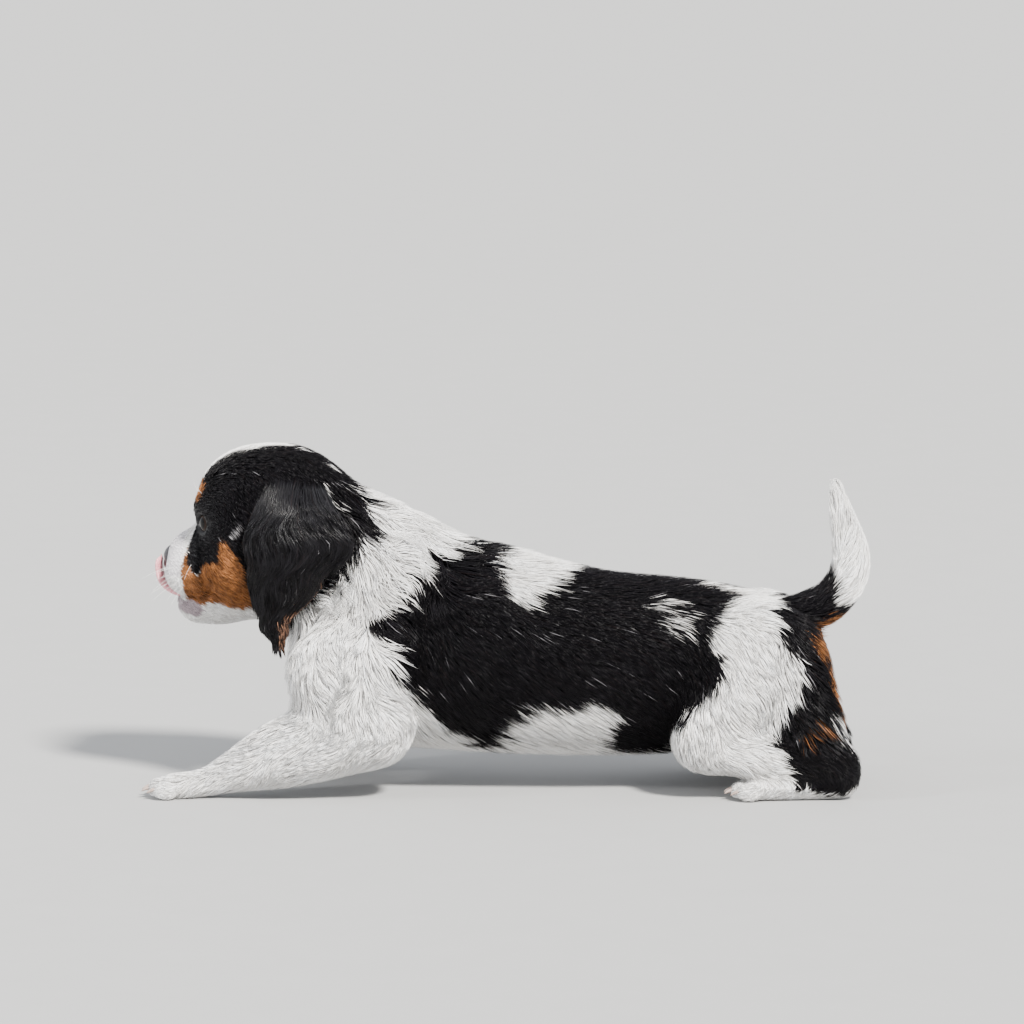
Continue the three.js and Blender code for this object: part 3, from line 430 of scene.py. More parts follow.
# Coat by region: depth over the skin, lock length, width, locks a square mm, lift at the tip, wave, clumping.
regions = {
    "muzzle": (.55, 3.0, .42, 3.0, .1, .05, .15),
    "face": (.9, 4.6, .46, 2.4, .2, .1, .25),
    "skull": (2.0, 8, .5, 2.1, .25, .12, .35),
    "jaw": (.6, 4.0, .42, 2.0, .1, .05, .15),
    "neck": (4.2, 20, .62, 1.05, .8, .5, .62),
    "ruff": (5.0, 23, .66, 1.0, 1.2, .6, .68),
    "trunk": (3.0, 11.5, .5, 1.1, .22, .1, .32),
    "shoulder": (3.4, 16, .58, .95, .6, .42, .6),
    "elbow": (3.0, 13, .58, .98, .7, .45, .6),
    "forearmReaching": (1.8, 7.5, .5, 1.35, .3, .2, .45),
    "forearmStanding": (1.8, 7.5, .5, 1.35, .3, .2, .45),
    "haunch": (2.8, 11, .56, .95, .3, .2, .5),
    "hamstring": (3.0, 13, .6, .9, .9, .35, .6),
    "shank": (1.9, 8, .5, 1.15, .35, .2, .4),
    "hindFoot": (.9, 4.4, .46, 2.1, .15, .08, .2),
    "toe": (.7, 2.8, .42, 2.4, .08, .04, .12),
    "tail": (2.2, 11, .52, 1.6, .5, .2, .5),
}

# The way the coat lies, as places and directions on the left side, the second list on the head's own axes.
combBody = [(-62, -6, 134, .8, 0, -.45), (-60, -22, 122, .75, -.1, -.6), (-62, -28, 105, .5, 0, -.85),
            (-80, -26, 84, .12, 0, -1), (-70, -32, 70, .25, 0, -1), (-98, -10, 78, .05, .1, -1),
            (-96, -10, 55, .1, 0, -1), (-88, -16, 36, .5, 0, -.9), (-35, -10, 118, .9, -.1, -.35),
            (-40, -34, 95, .7, 0, -.7), (-50, -42, 70, .45, 0, -.9), (-75, -46, 56, .1, 0, -1),
            (-58, -50, 40, .75, 0, -.65), (-45, -42, 50, .7, 0, -.75), (0, -5, 108, 1, 0, -.1),
            (0, -34, 92, .85, -.1, -.5), (0, -42, 65, .8, 0, -.6), (0, -38, 35, .88, 0, -.45),
            (0, -5, 14, 1, 0, -.1), (50, -5, 100, 1, 0, -.1), (50, -34, 80, .85, 0, -.45),
            (50, -40, 50, .85, 0, -.5), (50, -20, 20, 1, 0, -.2), (85, -8, 96, .95, 0, -.2),
            (90, -34, 72, .6, 0, -.75), (78, -44, 45, .35, 0, -.9), (95, -48, 35, .5, 0, -.85),
            (110, -46, 55, .45, 0, -.85), (125, -42, 40, .5, 0, -.85), (118, -12, 90, .85, -.3, -.45),
            (135, -36, 68, .45, -.1, -.85), (148, -24, 55, .2, 0, -1), (150, -34, 36, .3, 0, -1),
            (140, -6, 60, .3, 0, -1)]
combHead = [(49, 4, -17, -.5, .5, .4), (49, 11, -26, -.6, .5, -.4), (42, 4, -11, -.85, .1, .3),
            (40, 14, -24, -.85, .2, -.3), (42, 13, -34, -.6, .1, -.7), (30, 18, -34, -.8, .1, -.55),
            (22, 20, -24, -.85, .15, -.4), (10, 28, -28, -.8, .1, -.6), (25, 22, -12, -.8, .2, -.35),
            (34, 3, -4, -.4, .1, .9), (34, 8, 6, -.5, .3, .8), (28, 20, 8, -.7, .3, .1),
            (28, 4, 20, -.9, .15, .35), (16, 12, 26, -.9, .35, .1), (0, 6, 31, -.95, .3, 0),
            (-15, 10, 28, -.85, .35, -.35), (0, 24, 18, -.65, .3, -.7), (14, 26, 6, -.75, .15, -.55),
            (-10, 29, 5, -.45, .1, -.9), (-28, 14, 16, -.6, .1, -.8), (-33, 6, 4, -.5, 0, -.85),
            (15, 8, -50, -.95, 0, -.1), (35, 6, -52, -.9, .1, -.2), (25, 14, -44, -.9, 0, -.3),
            (5, 16, -50, -.8, .1, -.5)]
forearms = ("forearmReaching", "forearmStanding")
combedAlong = ("tail", "hindFoot", "shank", *forearms)


def readAll(collection, key, width, kind=np.float32):
    values = np.zeros(len(collection) * width, kind)
    collection.foreach_get(key, values)
    return values.reshape(-1, width)


def place(points):
    # from the body's millimetres to the part's metres
    return ((points + np.array([shiftX, 0, 0])) * .001).astype(np.float32)


def newPiece(name, mesh):
    mesh.polygons.foreach_set("use_smooth", np.ones(len(mesh.polygons), bool))
    piece = bpy.data.objects.new(name, mesh)
    bpy.context.collection.objects.link(piece)
    return piece


def colourPoints(mesh, tone):
    # the attribute that the coat's finishes take their colour from
    layer = mesh.color_attributes.new("coat", "FLOAT_COLOR", "POINT")
    colour = np.hstack([tone, np.ones((len(tone), 1))])
    layer.data.foreach_set("color", colour.astype(np.float32).ravel())


def spread(values, edges, passes):
    # evens values out between neighbouring vertices
    count = np.bincount(edges.ravel(), minlength=len(values)).clip(1)[:, None]
    values = values.reshape(len(values), -1).astype(float)
    for step in range(passes):
        total = np.stack([np.bincount(edges[:, 0], values[edges[:, 1], k], len(values)) +
                          np.bincount(edges[:, 1], values[edges[:, 0], k], len(values))
                          for k in range(values.shape[1])], 1)
        values = .5 * values + .5 * total / count
    return values


def blankSkin():
    # balls along every mass, all from one made with bmesh, run together into one closed surface
    bm = bmesh.new()
    bmesh.ops.create_uvsphere(bm, u_segments=20, v_segments=12, radius=1.0)
    ball = np.array([v.co for v in bm.verts])
    sides = [[v.index for v in face.verts] for face in bm.faces]
    bm.free()
    points, faces = [], []

    def add(spot):
        faces.extend([[v + len(points) * len(ball) for v in side] for side in sides])
        points.append(spot)

    for group in groups:
        for name, blend, side in group["masses"]:
            for x, y, z, radius, wide in bodyLine(name, side, 5):
                add(np.array([x, y, z]) + ball * (radius - .8) * [1, wide, 1])
    for middle, grow in toeSpots():
        add(middle + ball * toes["core"] * grow)
    for f, s, u, rf, rs, ru, blend in headEggs + jawEggs:
        add(fromHead(ball * [rf, rs, ru] + [f, s, u]))
    mesh = bpy.data.meshes.new("blank")
    mesh.from_pydata(np.concatenate(points).tolist(), [], faces)
    blank = newPiece("blank", mesh)
    remesh = blank.modifiers.new("remesh", "REMESH")
    remesh.mode = "VOXEL"
    remesh.voxel_size = skinSpec["voxel"]
    made = bpy.data.meshes.new_from_object(blank.evaluated_get(bpy.context.evaluated_depsgraph_get()))
    bpy.data.objects.remove(blank)
    return made


def refineFace(mesh):
    # smaller faces round the eyes and the mouth
    bm = bmesh.new()
    bm.from_mesh(mesh)
    points = np.array([v.co for v in bm.verts])
    fine = (toHead(points)[:, 0] > skinSpec["fineForward"]) & (points[:, 0] < skinSpec["fineBefore"])
    edges = [edge for edge in bm.edges if all(fine[v.index] for v in edge.verts)]
    bmesh.ops.subdivide_edges(bm, edges=edges, cuts=1, use_grid_fill=True)
    bm.to_mesh(mesh)
    bm.free()


# The head's regions, later ones over earlier ones: how far forward they start and how high they reach.
headRegions = [("face", 14, 12), ("face", 5, -12), ("muzzle", 33, -6), ("jaw", 6, -42)]


def regionOf(points):
    cell = np.round((points - volume["low"]) / volume["step"]).astype(int)
    cell = np.clip(cell, 0, volume["size"] - 1)
    names = np.array(labels, dtype=object)[volume["label"][tuple(cell.T)]]
    h = toHead(points)
    onHead = headFlesh(points, False) < bodyHeight(points) + 1
    names[onHead] = "skull"
    for name, forward, top in headRegions:
        names[onHead & (h[:, 0] > forward) & (h[:, 2] < top)] = name
    return names


def combOf(points, names):
    # the guides' directions, with near ones counting most, and down the limb itself on the legs and tail
    at, way = [], []
    for side in (1, -1):
        for x, y, z, a, b, c in combBody:
            at.append([x, y * side, z])
            way.append([a, b * side, c])
        for f, s, u, a, b, c in combHead:
            at.append(fromHead(np.array([[f, s * side, u]], float))[0])
            way.append(headWay(a, b * side, c))
    lie = np.zeros((len(points), 3))
    for spot, lay in zip(np.array(at, float), unit(np.array(way, float))):
        away = ((points - spot) ** 2).sum(1) + 9
        lie += (away ** -2)[:, None] * lay
    lie = unit(lie)
    for group in groups:
        for name, blend, side in group["masses"]:
            if name not in combedAlong:
                continue
            mine = names == name
            if name == "hindFoot" or name in forearms:
                mine |= (names == "toe") & ((points[:, 0] > 0) == (name == "hindFoot"))
            if name != "tail":
                mine &= points[:, 1] * side < 0
            if mine.any():
                line = bodyLine(name, side, 4)[:, :3]
                nearest = ((points[mine][:, None] - line[None, :-1]) ** 2).sum(2).argmin(1)
                droop = 0 if name == "tail" else -.25
                lie[mine] = unit(np.diff(line, axis=0))[nearest] + np.array([0, 0, droop])
    return unit(lie)


def alongSurface(lie, way):
    return unit(lie - (lie * way).sum(1, keepdims=True) * way)


def makeSkin():
    mesh = blankSkin()
    refineFace(mesh)
    points = readAll(mesh.vertices, "co", 3)
    edges = readAll(mesh.edges, "vertices", 2, np.int32)
    names = regionOf(points)
    table = np.array([regions[name] for name in names])
    folded = toHead(points)
    folded[:, 1] = np.abs(folded[:, 1])
    eyeAway = np.linalg.norm(folded - np.array([eye["f"] + 6, eye["s"] + 3, eye["u"]]), axis=1)
    table[:, 0] *= np.clip((eyeAway - 5) / 8, .1, 1)  # hardly any coat round the eyes
    table = spread(table, edges, skinSpec["smoothing"])
    for step in range(skinSpec["passes"]):
        off, way = flesh(points)
        off = np.clip(off + table[:, 0], -4, 4)
        points = points - (off / np.maximum((way ** 2).sum(1), .3))[:, None] * way
        if step == 2:
            points = spread(points, edges, 2)
    points[:, 2] = np.maximum(points[:, 2], .5)
    lie = alongSurface(spread(combOf(points, names), edges, skinSpec["combing"]), unit(lookUp(points)[1]))
    mesh.vertices.foreach_set("co", place(points).ravel())
    # the skin takes the markings darkened, a painted shade under the coat
    colourPoints(mesh, spread(markings(points), edges, 1) * skinSpec["shade"])
    mesh.update()
    return newPiece("skin", mesh), points, table, lie, names


def unwrap(thing):
    # islands that follow the piece's own shape
    layer = thing.data.uv_layers.new(name="OFBake")
    thing.data.uv_layers.active = layer
    bpy.context.view_layer.objects.active = thing
    thing.select_set(True)
    bpy.ops.object.mode_set(mode="EDIT")
    bpy.ops.mesh.select_all(action="SELECT")
    bpy.ops.uv.smart_project(angle_limit=1.2, island_margin=.002)
    bpy.ops.object.mode_set(mode="OBJECT")
    thing.select_set(False)


def uvOf(mesh):
    return readAll(mesh.uv_layers["OFBake"].data, "uv", 2)


skin, skinPoints, skinTraits, skinLie, skinNames = makeSkin()
unwrap(skin)
print("skin shaped and unwrapped,", len(skin.data.polygons), "faces")

# Locks.


def sowRoots(mesh, points, density, seed):
    # places spread over a mesh by area and density, as a triangle and weights on its corners
    mesh.calc_loop_triangles()
    corner = readAll(mesh.loop_triangles, "vertices", 3, np.int32)
    loops = readAll(mesh.loop_triangles, "loops", 3, np.int32)
    a, b, c = (points[corner[:, k]] for k in range(3))
    area = np.linalg.norm(np.cross(b - a, c - a), axis=1) / 2
    heap = np.cumsum(area * density[corner].mean(1))
    rng = np.random.default_rng(seed)
    count = int(heap[-1])
    steps = (np.arange(count) + rng.random(count)) / count * heap[-1]
    pick = np.searchsorted(heap, steps).clip(0, len(corner) - 1)
    u, v = rng.random((2, count))
    over = u + v > 1
    u[over], v[over] = 1 - u[over], 1 - v[over]
    weight = np.stack([1 - u - v, u, v], 1)
    return corner[pick], loops[pick], weight


def mixCorners(values, corner, weight):
    return np.einsum("nk,nkj->nj", weight, values[corner].reshape(len(corner), 3, -1))


growth = {"sunk": .35, "slant": .22, "slantSpread": .14, "stray": .05, "waveLength": 21, "waveSeed": 31,
          "pull": 2.5, "droop": .06, "freeDroop": .12}


def growAlong(roots, way, lie, size, rings, seed):
    # each lock leaves the skin at a slant, then keeps to a height over the flesh that rises to its lift
    rng = np.random.default_rng(seed)
    count = len(roots)
    wave = size["wave"] * (.8 + .4 * rng.random(count))
    stray = growth["stray"] * rng.normal(size=count)
    turn = wave * .9 * ripple(roots, growth["waveLength"], growth["waveSeed"]) + stray
    lie = unit(lie + np.cross(way, lie) * turn[:, None])
    slant = growth["slant"] + growth["slantSpread"] * rng.random((count, 1))
    slant = slant * np.clip(size["length"] / 9, .3, 1)[:, None]
    heading = unit(lie + way * slant)
    at = roots - way * growth["sunk"]
    path = [at]
    out = way
    for ring in range(1, rings + 1):
        last = at
        at = at + heading * (size["length"] / rings)[:, None]
        height, rise = lookUp(at)
        steep = np.linalg.norm(rise, axis=1, keepdims=True)
        out = unit(out * .3 + rise / np.maximum(steep, .2))
        goal = -size["depth"] + (size["depth"] + size["lift"]) * (ring / rings) ** .8
        off = np.clip(goal - height, -growth["pull"], growth["pull"]) * (1 - .35 * size["free"])
        at = at + out * off[:, None]
        at[:, 2] = np.maximum(at[:, 2], .3)
        path.append(at)
        swing = wave * 1.25 * ripple(at, growth["waveLength"], growth["waveSeed"]) + stray
        lie = lie - (lie * out).sum(1, keepdims=True) * out
        side = np.cross(out, unit(lie))
        heading = unit(.35 * unit(at - last) + unit(lie) + side * swing[:, None] * .8)
        heading[:, 2] -= growth["droop"] + growth["freeDroop"] * size["free"]
        heading = unit(heading)
    return np.stack(path, 1), out


def treeOf(points):
    tree = kdtree.KDTree(len(points))
    for i, point in enumerate(points):
        tree.insert(point, i)
    tree.balance()
    return tree


def gather(path, strength, every, seed):
    # locks lean together towards a leader near them
    rng = np.random.default_rng(seed)
    count = len(path)
    leaders = rng.choice(count, max(count // every, 1), replace=False)
    tree = treeOf(path[leaders, 0])
    mine = leaders[np.fromiter((tree.find(p)[1] for p in path[:, 0]), int, count)]
    share = np.linspace(0, 1, path.shape[1])[None, :, None] ** 1.4
    pull = np.clip(strength * (.5 + rng.random(count)), 0, .9)[:, None, None]
    return path + (path[mine] - path) * share * pull


# A lock's cut: its three corners by angle and flatness, and its width at each ring, by the number of rings.
bladeCorners = ((90, .55), (210, 1), (330, 1))
bladeWidths = {2: [1, .75], 3: [.85, 1, .6], 4: [.8, 1, .85, .5]}


def bladePoints(path, out, width):
    rings = path.shape[1] - 1
    points = []
    for k in range(rings):
        along = unit(path[:, k + 1] - path[:, max(k - 1, 0)])
        across = unit(np.cross(along, out))
        up = np.cross(across, along)
        half = (width * .5 * bladeWidths[rings][k])[:, None]
        for angle, flat in bladeCorners:
            c, s = math.cos(math.radians(angle)), math.sin(math.radians(angle)) * .6
            points.append(path[:, k] + (across * c + up * s * flat) * half)
    return np.stack(points + [path[:, -1]], 1)


def bladeFaces(rings):
    # one closed blade: a foot, sides of two triangles from ring to ring, and a point
    faces = [(0, 1, 2)]
    for k in range(rings - 1):
        for j in range(3):
            a, b = 3 * k + j, 3 * k + (j + 1) % 3
            faces += [(a, b + 3, b), (a, a + 3, b + 3)]
    top = 3 * (rings - 1)
    faces += [(top + j, top + 3, top + (j + 1) % 3) for j in range(3)]
    return np.array(faces)


def lockMesh(name, path, out, width, tone, uv):
    # every lock of one piece as a closed blade of three sides that tapers to a point
    count, rings = len(path), path.shape[1] - 1
    points = bladePoints(path, out, width)
    each = points.shape[1]
    index = np.arange(count)[:, None, None] * each + bladeFaces(rings)[None]
    index = index.reshape(-1, 3).astype(np.int32)
    mesh = bpy.data.meshes.new(name)
    mesh.vertices.add(count * each)
    mesh.vertices.foreach_set("co", place(points.reshape(-1, 3)).ravel())
    mesh.loops.add(index.size)
    mesh.loops.foreach_set("vertex_index", index.ravel())
    mesh.polygons.add(len(index))
    mesh.polygons.foreach_set("loop_start", np.arange(0, index.size, 3, dtype=np.int32))
    mesh.update(calc_edges=True)
    # painted shade deep in the coat: darker at the root and lighter at the tip, less so on pale hair
    share = np.append(np.repeat(np.arange(rings) / rings, 3), 1)
    pale = np.clip(tone.mean(1) / .6, 0, 1)[:, None, None]
    depthShade = np.interp(share, [0, .5, 1], [.65, 1, 1.25])[None, :, None]
    colour = np.clip(tone[:, None] * (depthShade * (1 - pale) + (.86 + .14 * depthShade) * pale), 0, .93)
    colourPoints(mesh, colour.reshape(-1, 3))
    # a tuft's own small patch of the map, at its root's place
    angle = 2.1 * (np.arange(each) % 3)
    radius = .0012 * (1 - .5 * share)
    radius[-1] = 0
    spots = uv[:, None] + np.stack([np.cos(angle) * radius, np.sin(angle) * radius], 1)[None]
    layer = mesh.uv_layers.new(name="OFBake")
    layer.data.foreach_set("uv", spots.reshape(-1, 2)[index.ravel()].astype(np.float32).ravel())
    return newPiece(name, mesh)


variety = {"patch": .10, "hair": .13, "dark": 1.5, "rust": .06, "rustTint": [1.9, 1.45, 1.2], "grey": .004,
           "greyTone": [.16, .155, .165]}


def varied(tone, roots, seed):
    # hairs of one patch differ a little, and black ones more where the light catches brown or grey
    rng = np.random.default_rng(seed)
    light = 1 + variety["patch"] * ripple(roots, 9, 41) + variety["hair"] * rng.normal(size=len(tone))
    dark = tone.mean(1) < .05
    light[dark] = 1 + (light[dark] - 1) * variety["dark"]
    tone = tone * np.clip(light, .4, 1.9)[:, None]
    rust = dark & (rng.random(len(tone)) < variety["rust"])
    tone[rust] = tone[rust] * variety["rustTint"]
    grey = dark & (rng.random(len(tone)) < variety["grey"])
    tone[grey] = variety["greyTone"]
    warm = ~dark & (tone[:, 2] < .3)
    change = 1 + .35 * ripple(roots[warm], 6, 43) + .2 * rng.normal(size=warm.sum())
    tone[warm] *= np.clip(change, .35, 1.7)[:, None]
    return tone


coatSpec = {"scale": .715, "seed": 11, "eyeFront": 6.2, "eyeClear": 5.15, "floorClear": 1.2,
            "noseMiddle": [48.5, 0, -23.8], "noseClear": [6.5, 8.4, 7.2], "looseEdges": 1.6}
# Longer hair: where the breeches and the belly's fringe start and over how much they grow,
# and the middle and reach of the elbow feathers and the neck's curls.
feathers = {"rear": (128, 20), "belly": (24, 10), "elbow": ([-52, 0, 36], 16), "curls": ([-64, 0, 112], 15)}
coatPieces = {
    "coatMuzzle": dict(of=["muzzle", "jaw"], rings=2, every=5),
    "coatFace": dict(of=["face"], rings=2, every=6),
    "coatSkull": dict(of=["skull"], rings=2, every=9),
    "coatNeck": dict(of=["neck"], rings=4, every=16),
    "coatRuff": dict(of=["ruff"], rings=4, every=16),
    "coatFlankLeft": dict(of=["trunk"], rings=2, every=10, side=-1),
    "coatFlankRight": dict(of=["trunk"], rings=2, every=10, side=1),
    "coatForelegLeft": dict(of=["shoulder", "elbow", "forearmReaching"], rings=3, every=9, side=-1),
    "coatForelegRight": dict(of=["shoulder", "elbow", "forearmStanding"], rings=3, every=9, side=1),
    "coatHindlegLeft": dict(of=["haunch", "hamstring", "shank"], rings=3, every=9, side=-1),
    "coatHindlegRight": dict(of=["haunch", "hamstring", "shank"], rings=3, every=9, side=1),
    "coatFeet": dict(of=["toe", "hindFoot"], rings=2, every=5),
    "coatTail": dict(of=["tail"], rings=3, every=8),
}


def sideAway(points, spot):
    # distance in the side view
    return np.linalg.norm((points - spot) * [1, 0, 1], axis=1)


def coatRoots():
    # roots on the skin, without the ones that would grow on the eyes, the nose, the lips or the floor
    density = skinTraits[:, traits.index("density")] * coatSpec["scale"]
    corner, loops, weight = sowRoots(skin.data, skinPoints, density, coatSpec["seed"])
    roots = mixCorners(skinPoints, corner, weight)
    uv = mixCorners(uvOf(skin.data), loops, weight)
    values = mixCorners(skinTraits, corner, weight)
    lie = unit(mixCorners(skinLie, corner, weight))
    names = skinNames[corner[:, 0]]
    h = toHead(roots)
    eyeAway = np.full(len(roots), 1e3)
    for side in (1, -1):
        front = eyeMiddle(side) + eyeWay(side) * coatSpec["eyeFront"]
        eyeAway = np.minimum(eyeAway, np.linalg.norm((h - front) / [1, 1, .92], axis=1))
    noseAway = np.linalg.norm((h - coatSpec["noseMiddle"]) / coatSpec["noseClear"], axis=1)
    keep = (eyeAway > coatSpec["eyeClear"]) & (noseAway > 1) & (roots[:, 2] > coatSpec["floorClear"])
    mouth = (h[:, 0] > 34) & (h[:, 2] < -36) & (h[:, 2] > -43) & (np.abs(h[:, 1]) < 12)
    keep &= ~((names == "jaw") & ((h[:, 2] > -39) | mouth))
    return [part[keep] for part in (roots, uv, values, lie, names, eyeAway)]


def coverBody():
    made = []
    roots, uv, values, lie, names, eyeAway = coatRoots()
    rng = np.random.default_rng(coatSpec["seed"])
    way = unit(lookUp(roots)[1])
    lie = alongSurface(lie, way)
    size = {trait: values[:, k] for k, trait in enumerate(traits)}
    stray = rng.random(len(roots)) < .07
    size["length"] = size["length"] * (.72 + .45 * rng.random(len(roots)) + .45 * stray)
    size["length"] *= np.clip((eyeAway - 2) / 9, .35, 1)
    size["width"] = size["width"] * (.8 + .4 * rng.random(len(roots)))
    # breeches, elbow feathers and the belly's fringe hang free, and the neck's hair curls below the ear
    start, over = feathers["rear"]
    rear = np.clip((roots[:, 0] - start) / over, 0, 1) * (names == "hamstring")
    start, over = feathers["belly"]
    belly = np.clip((start - roots[:, 2]) / over, 0, 1) * (names == "trunk")
    spot, over = feathers["elbow"]
    elbow = np.clip(1 - sideAway(roots, spot) / over, 0, 1) * (names == "elbow")
    spot, over = feathers["curls"]
    curls = np.exp(-(sideAway(roots, spot) / over) ** 2) * (names == "neck")
    size["free"] = np.clip(rear + elbow * 1.2 + belly, 0, 1)
    size["wave"] = size["wave"] + .5 * curls
    size["length"] = size["length"] * (1 + .25 * size["free"])
    size["lift"] = size["lift"] + 1.2 * curls + 1.2 * size["free"]
    middle = roots + lie * size["length"][:, None] * .45
    tone = varied(markings(middle, coatSpec["looseEdges"]), roots, 21)
    for name, spec in coatPieces.items():
        mine = np.isin(names, spec["of"])
        if "side" in spec:
            mine &= roots[:, 1] * spec["side"] >= 0
        part = {key: value[mine] for key, value in size.items()}
        path, out = growAlong(roots[mine], way[mine], lie[mine], part, spec["rings"], len(made) + 51)
        path = gather(path, part["clump"], spec["every"], len(made) + 81)
        made.append(lockMesh(name, path, out, part["width"], tone[mine], uv[mine]))
        print(name, len(made[-1].data.polygons), "faces")
    return made


coat = coverBody()

# Ears.

# An ear from its root to its tip, on the head's axes: forwards, out, up, half its width and its thickness.
earRows = [[-15, 27.5, 10, 12, 2.2], [-17, 32.5, 3, 19, 2.6], [-19, 36, -8, 24, 2.6],
           [-16.5, 36.5, -20, 22, 2.5], [-13, 35.5, -31, 16.5, 2.4], [-8.5, 33.5, -43, 10, 2.3],
           [-8.5, 32, -50, 8, 2.1], [-9.8, 30.5, -56, 4.4, 1.6]]
ear = {"cup": 4.5, "inset": 3.0, "thin": .45, "outside": 4200, "inside": 900, "drape": 700, "length": 19,
       "width": .68, "wave": .14, "waves": 21.0}
earLine = spline(earRows, 12)
earLength = np.linalg.norm(np.diff(earLine[:, :3], axis=0), axis=1).sum()


def onEar(side, t, across, out, height, inset=0.0):
    # t runs down the ear, past 1 beyond its tip; across runs from its rear edge to its front edge
    row = between(earLine, np.clip(t, 0, 1) * (len(earLine) - 1))
    half = np.maximum(row[:, 3] - inset, 1.2)
    bend = ear["cup"] * np.minimum(1, row[:, 3] / 16) * across * across
    past = np.maximum(t - 1, 0) * earLength
    f = row[:, 0] + across * half - past * .12
    s = row[:, 1] - bend + out * row[:, 4] * ear["thin"] + height
    return fromHead(np.stack([f, s * side, row[:, 2] - past], 1))


def outward(points, level, passes=6, reach=.3):
    # moves points to a height over the head's own surface
    for step in range(passes):
        value = headFlesh(points, False)
        rise = [headFlesh(points + way, False) - headFlesh(points - way, False) for way in np.eye(3) * reach]
        slope = np.stack(rise, 1) / (2 * reach)
        points = points + ((level - value) / np.maximum((slope ** 2).sum(1), .2))[:, None] * slope
    return points


def turnedOut(bm, name):
    # a piece from a bmesh, with its faces pointing outwards
    bm.normal_update()
    bmesh.ops.recalc_face_normals(bm, faces=bm.faces)
    mesh = bpy.data.meshes.new(name)
    bm.to_mesh(mesh)
    bm.free()
    return newPiece(name, mesh)


def ballMesh(name, wide, high, shape):
    # a closed ball whose points are moved to their places by shape, and the ball's own points
    bm = bmesh.new()
    bmesh.ops.create_uvsphere(bm, u_segments=wide, v_segments=high, radius=1.0)
    points = np.array([v.co for v in bm.verts])
    for v, p in zip(bm.verts, place(shape(points))):
        v.co = p
    return turnedOut(bm, name), points


def downBall(p):
    # how far down a ball each point is, from 0 to 1, and its direction from the upright axis
    return np.arccos(np.clip(p[:, 2], -1, 1)) / math.pi, unit(p[:, :2])


def makeEar(side, name):
    def shape(p):
        t, flat = downBall(p)
        ends = np.clip(np.minimum(t, 1 - t) * 30, .15, 1)
        return onEar(side, t, flat[:, 0] * ends, flat[:, 1] * ends, 0, ear["inset"])

    thing, ball = ballMesh(name, 40, 48, shape)
    t, flat = downBall(ball)
    tone = np.tile(np.array(coats["black"]), (len(t), 1))
    tone[(flat[:, 1] < -.2) & (t > .45)] = coats["earTan"]
    colourPoints(thing.data, tone)
    unwrap(thing)
    return thing


def earLocks(side, face, count, rng, seed):
    # locks down one face of the ear, the outside with face 1 and the inside with -1
    t = rng.random(count * 2)
    across = rng.uniform(-1, 1, count * 2)
    half = np.interp(t * (len(earLine) - 1), np.arange(len(earLine)), earLine[:, 3])
    take = rng.random(count * 2) < (half + 5) / 29
    t, across = t[take][:count], across[take][:count]
    number = len(t)
    length = ear["length"] * (.7 + .6 * rng.random(number)) * (1 if face > 0 else .6)
    length = length * np.interp(t, [0, .15, .6, .85, 1], [.8, 1, .9, .6, .35])
    bend = seed + 1.1 * np.sin(2.3 * across + seed) + .12 * rng.normal(size=number)
    fan = across * np.where(across < 0, .14, .04) + .03 * rng.normal(size=number)
    top = (.9 + 1.9 * rng.random(number)) * (1 if face > 0 else .5)
    spots = []
    for share in np.linspace(0, 1, 5):
        down = t + length * share / earLength
        sway = np.sin(ear["waves"] * down + bend) - np.sin(ear["waves"] * t + bend)
        wide = across + fan * share + ear["wave"] * sway * np.interp(t, [.6, 1], [1, .35])
        lift = face * (.15 + top * share ** .7 + 8 * np.maximum(down - 1, 0))
        lift = np.where(down > 1, np.minimum(lift, face * 1.5), lift)
        inset = ear["inset"] * (1 - .6 * share)
        spots.append(onEar(side, down, np.clip(wide, -1.25, 1.08), face, lift, inset))
    path = gather(np.stack(spots, 1), np.full(number, .6), 14, seed + face)
    out = np.tile(headWay(0, side * face, .05), (number, 1))
    tan = (face < 0) & (t > .42) & (rng.random(number) < .7)
    tan |= (face > 0) & (across < -.84) & (t > .48) & (rng.random(number) < .7)
    tan |= (face > 0) & (across < -.35) & (t > .66) & (t < .95) & (rng.random(number) < .75)
    base = np.where(tan[:, None], coats["earTan"], coats["black"])
    tone = varied(base, path[:, 0], seed + 3)
    width = ear["width"] * (.8 + .4 * rng.random(number))
    return path, out, width, tone, path[:, 0]


def drapeLocks(side, rng, seed):
    # locks that fall from the skull over the ear's root
    number = ear["drape"]
    across = rng.uniform(-1.15, 1.0, number)
    edge = toHead(onEar(side, np.full(number, .02), across, 1, 0))
    above = [rng.normal(size=number) * .4, -side * rng.uniform(5, 9, number), rng.uniform(4, 12, number)]
    start = outward(fromHead(edge + np.stack(above, 1)), -1.0)
    reach = .45 + 1.75 * rng.random(number) ** 1.5
    height = rng.uniform(1.2, 2.6, number)
    lean = across + .08 * np.sin(4.6 * across + seed)
    low = [onEar(side, reach * t, np.clip(lean - .12 * t, -1.3, 1.05), 1, height * share)
           for t, share in ((.05, 1), (.17, .85), (.30, .4))]
    crest = (start + low[0]) / 2 + headWay(0, side, .6) * rng.uniform(.6, 1.3, (number, 1))
    path = np.stack([start, crest] + low, 1)
    path[:, 1:-1] = .25 * path[:, :-2] + .5 * path[:, 1:-1] + .25 * path[:, 2:]
    mapAt = path[:, 2]
    path = gather(path, np.full(number, .55), 10, seed + 5)
    out = np.tile(headWay(0, side, .3), (number, 1))
    tone = varied(np.tile(np.array(coats["black"]), (number, 1)), path[:, 0], seed + 6)
    width = ear["width"] * (.75 + .4 * rng.random(number))
    return path, out, width, tone, mapAt


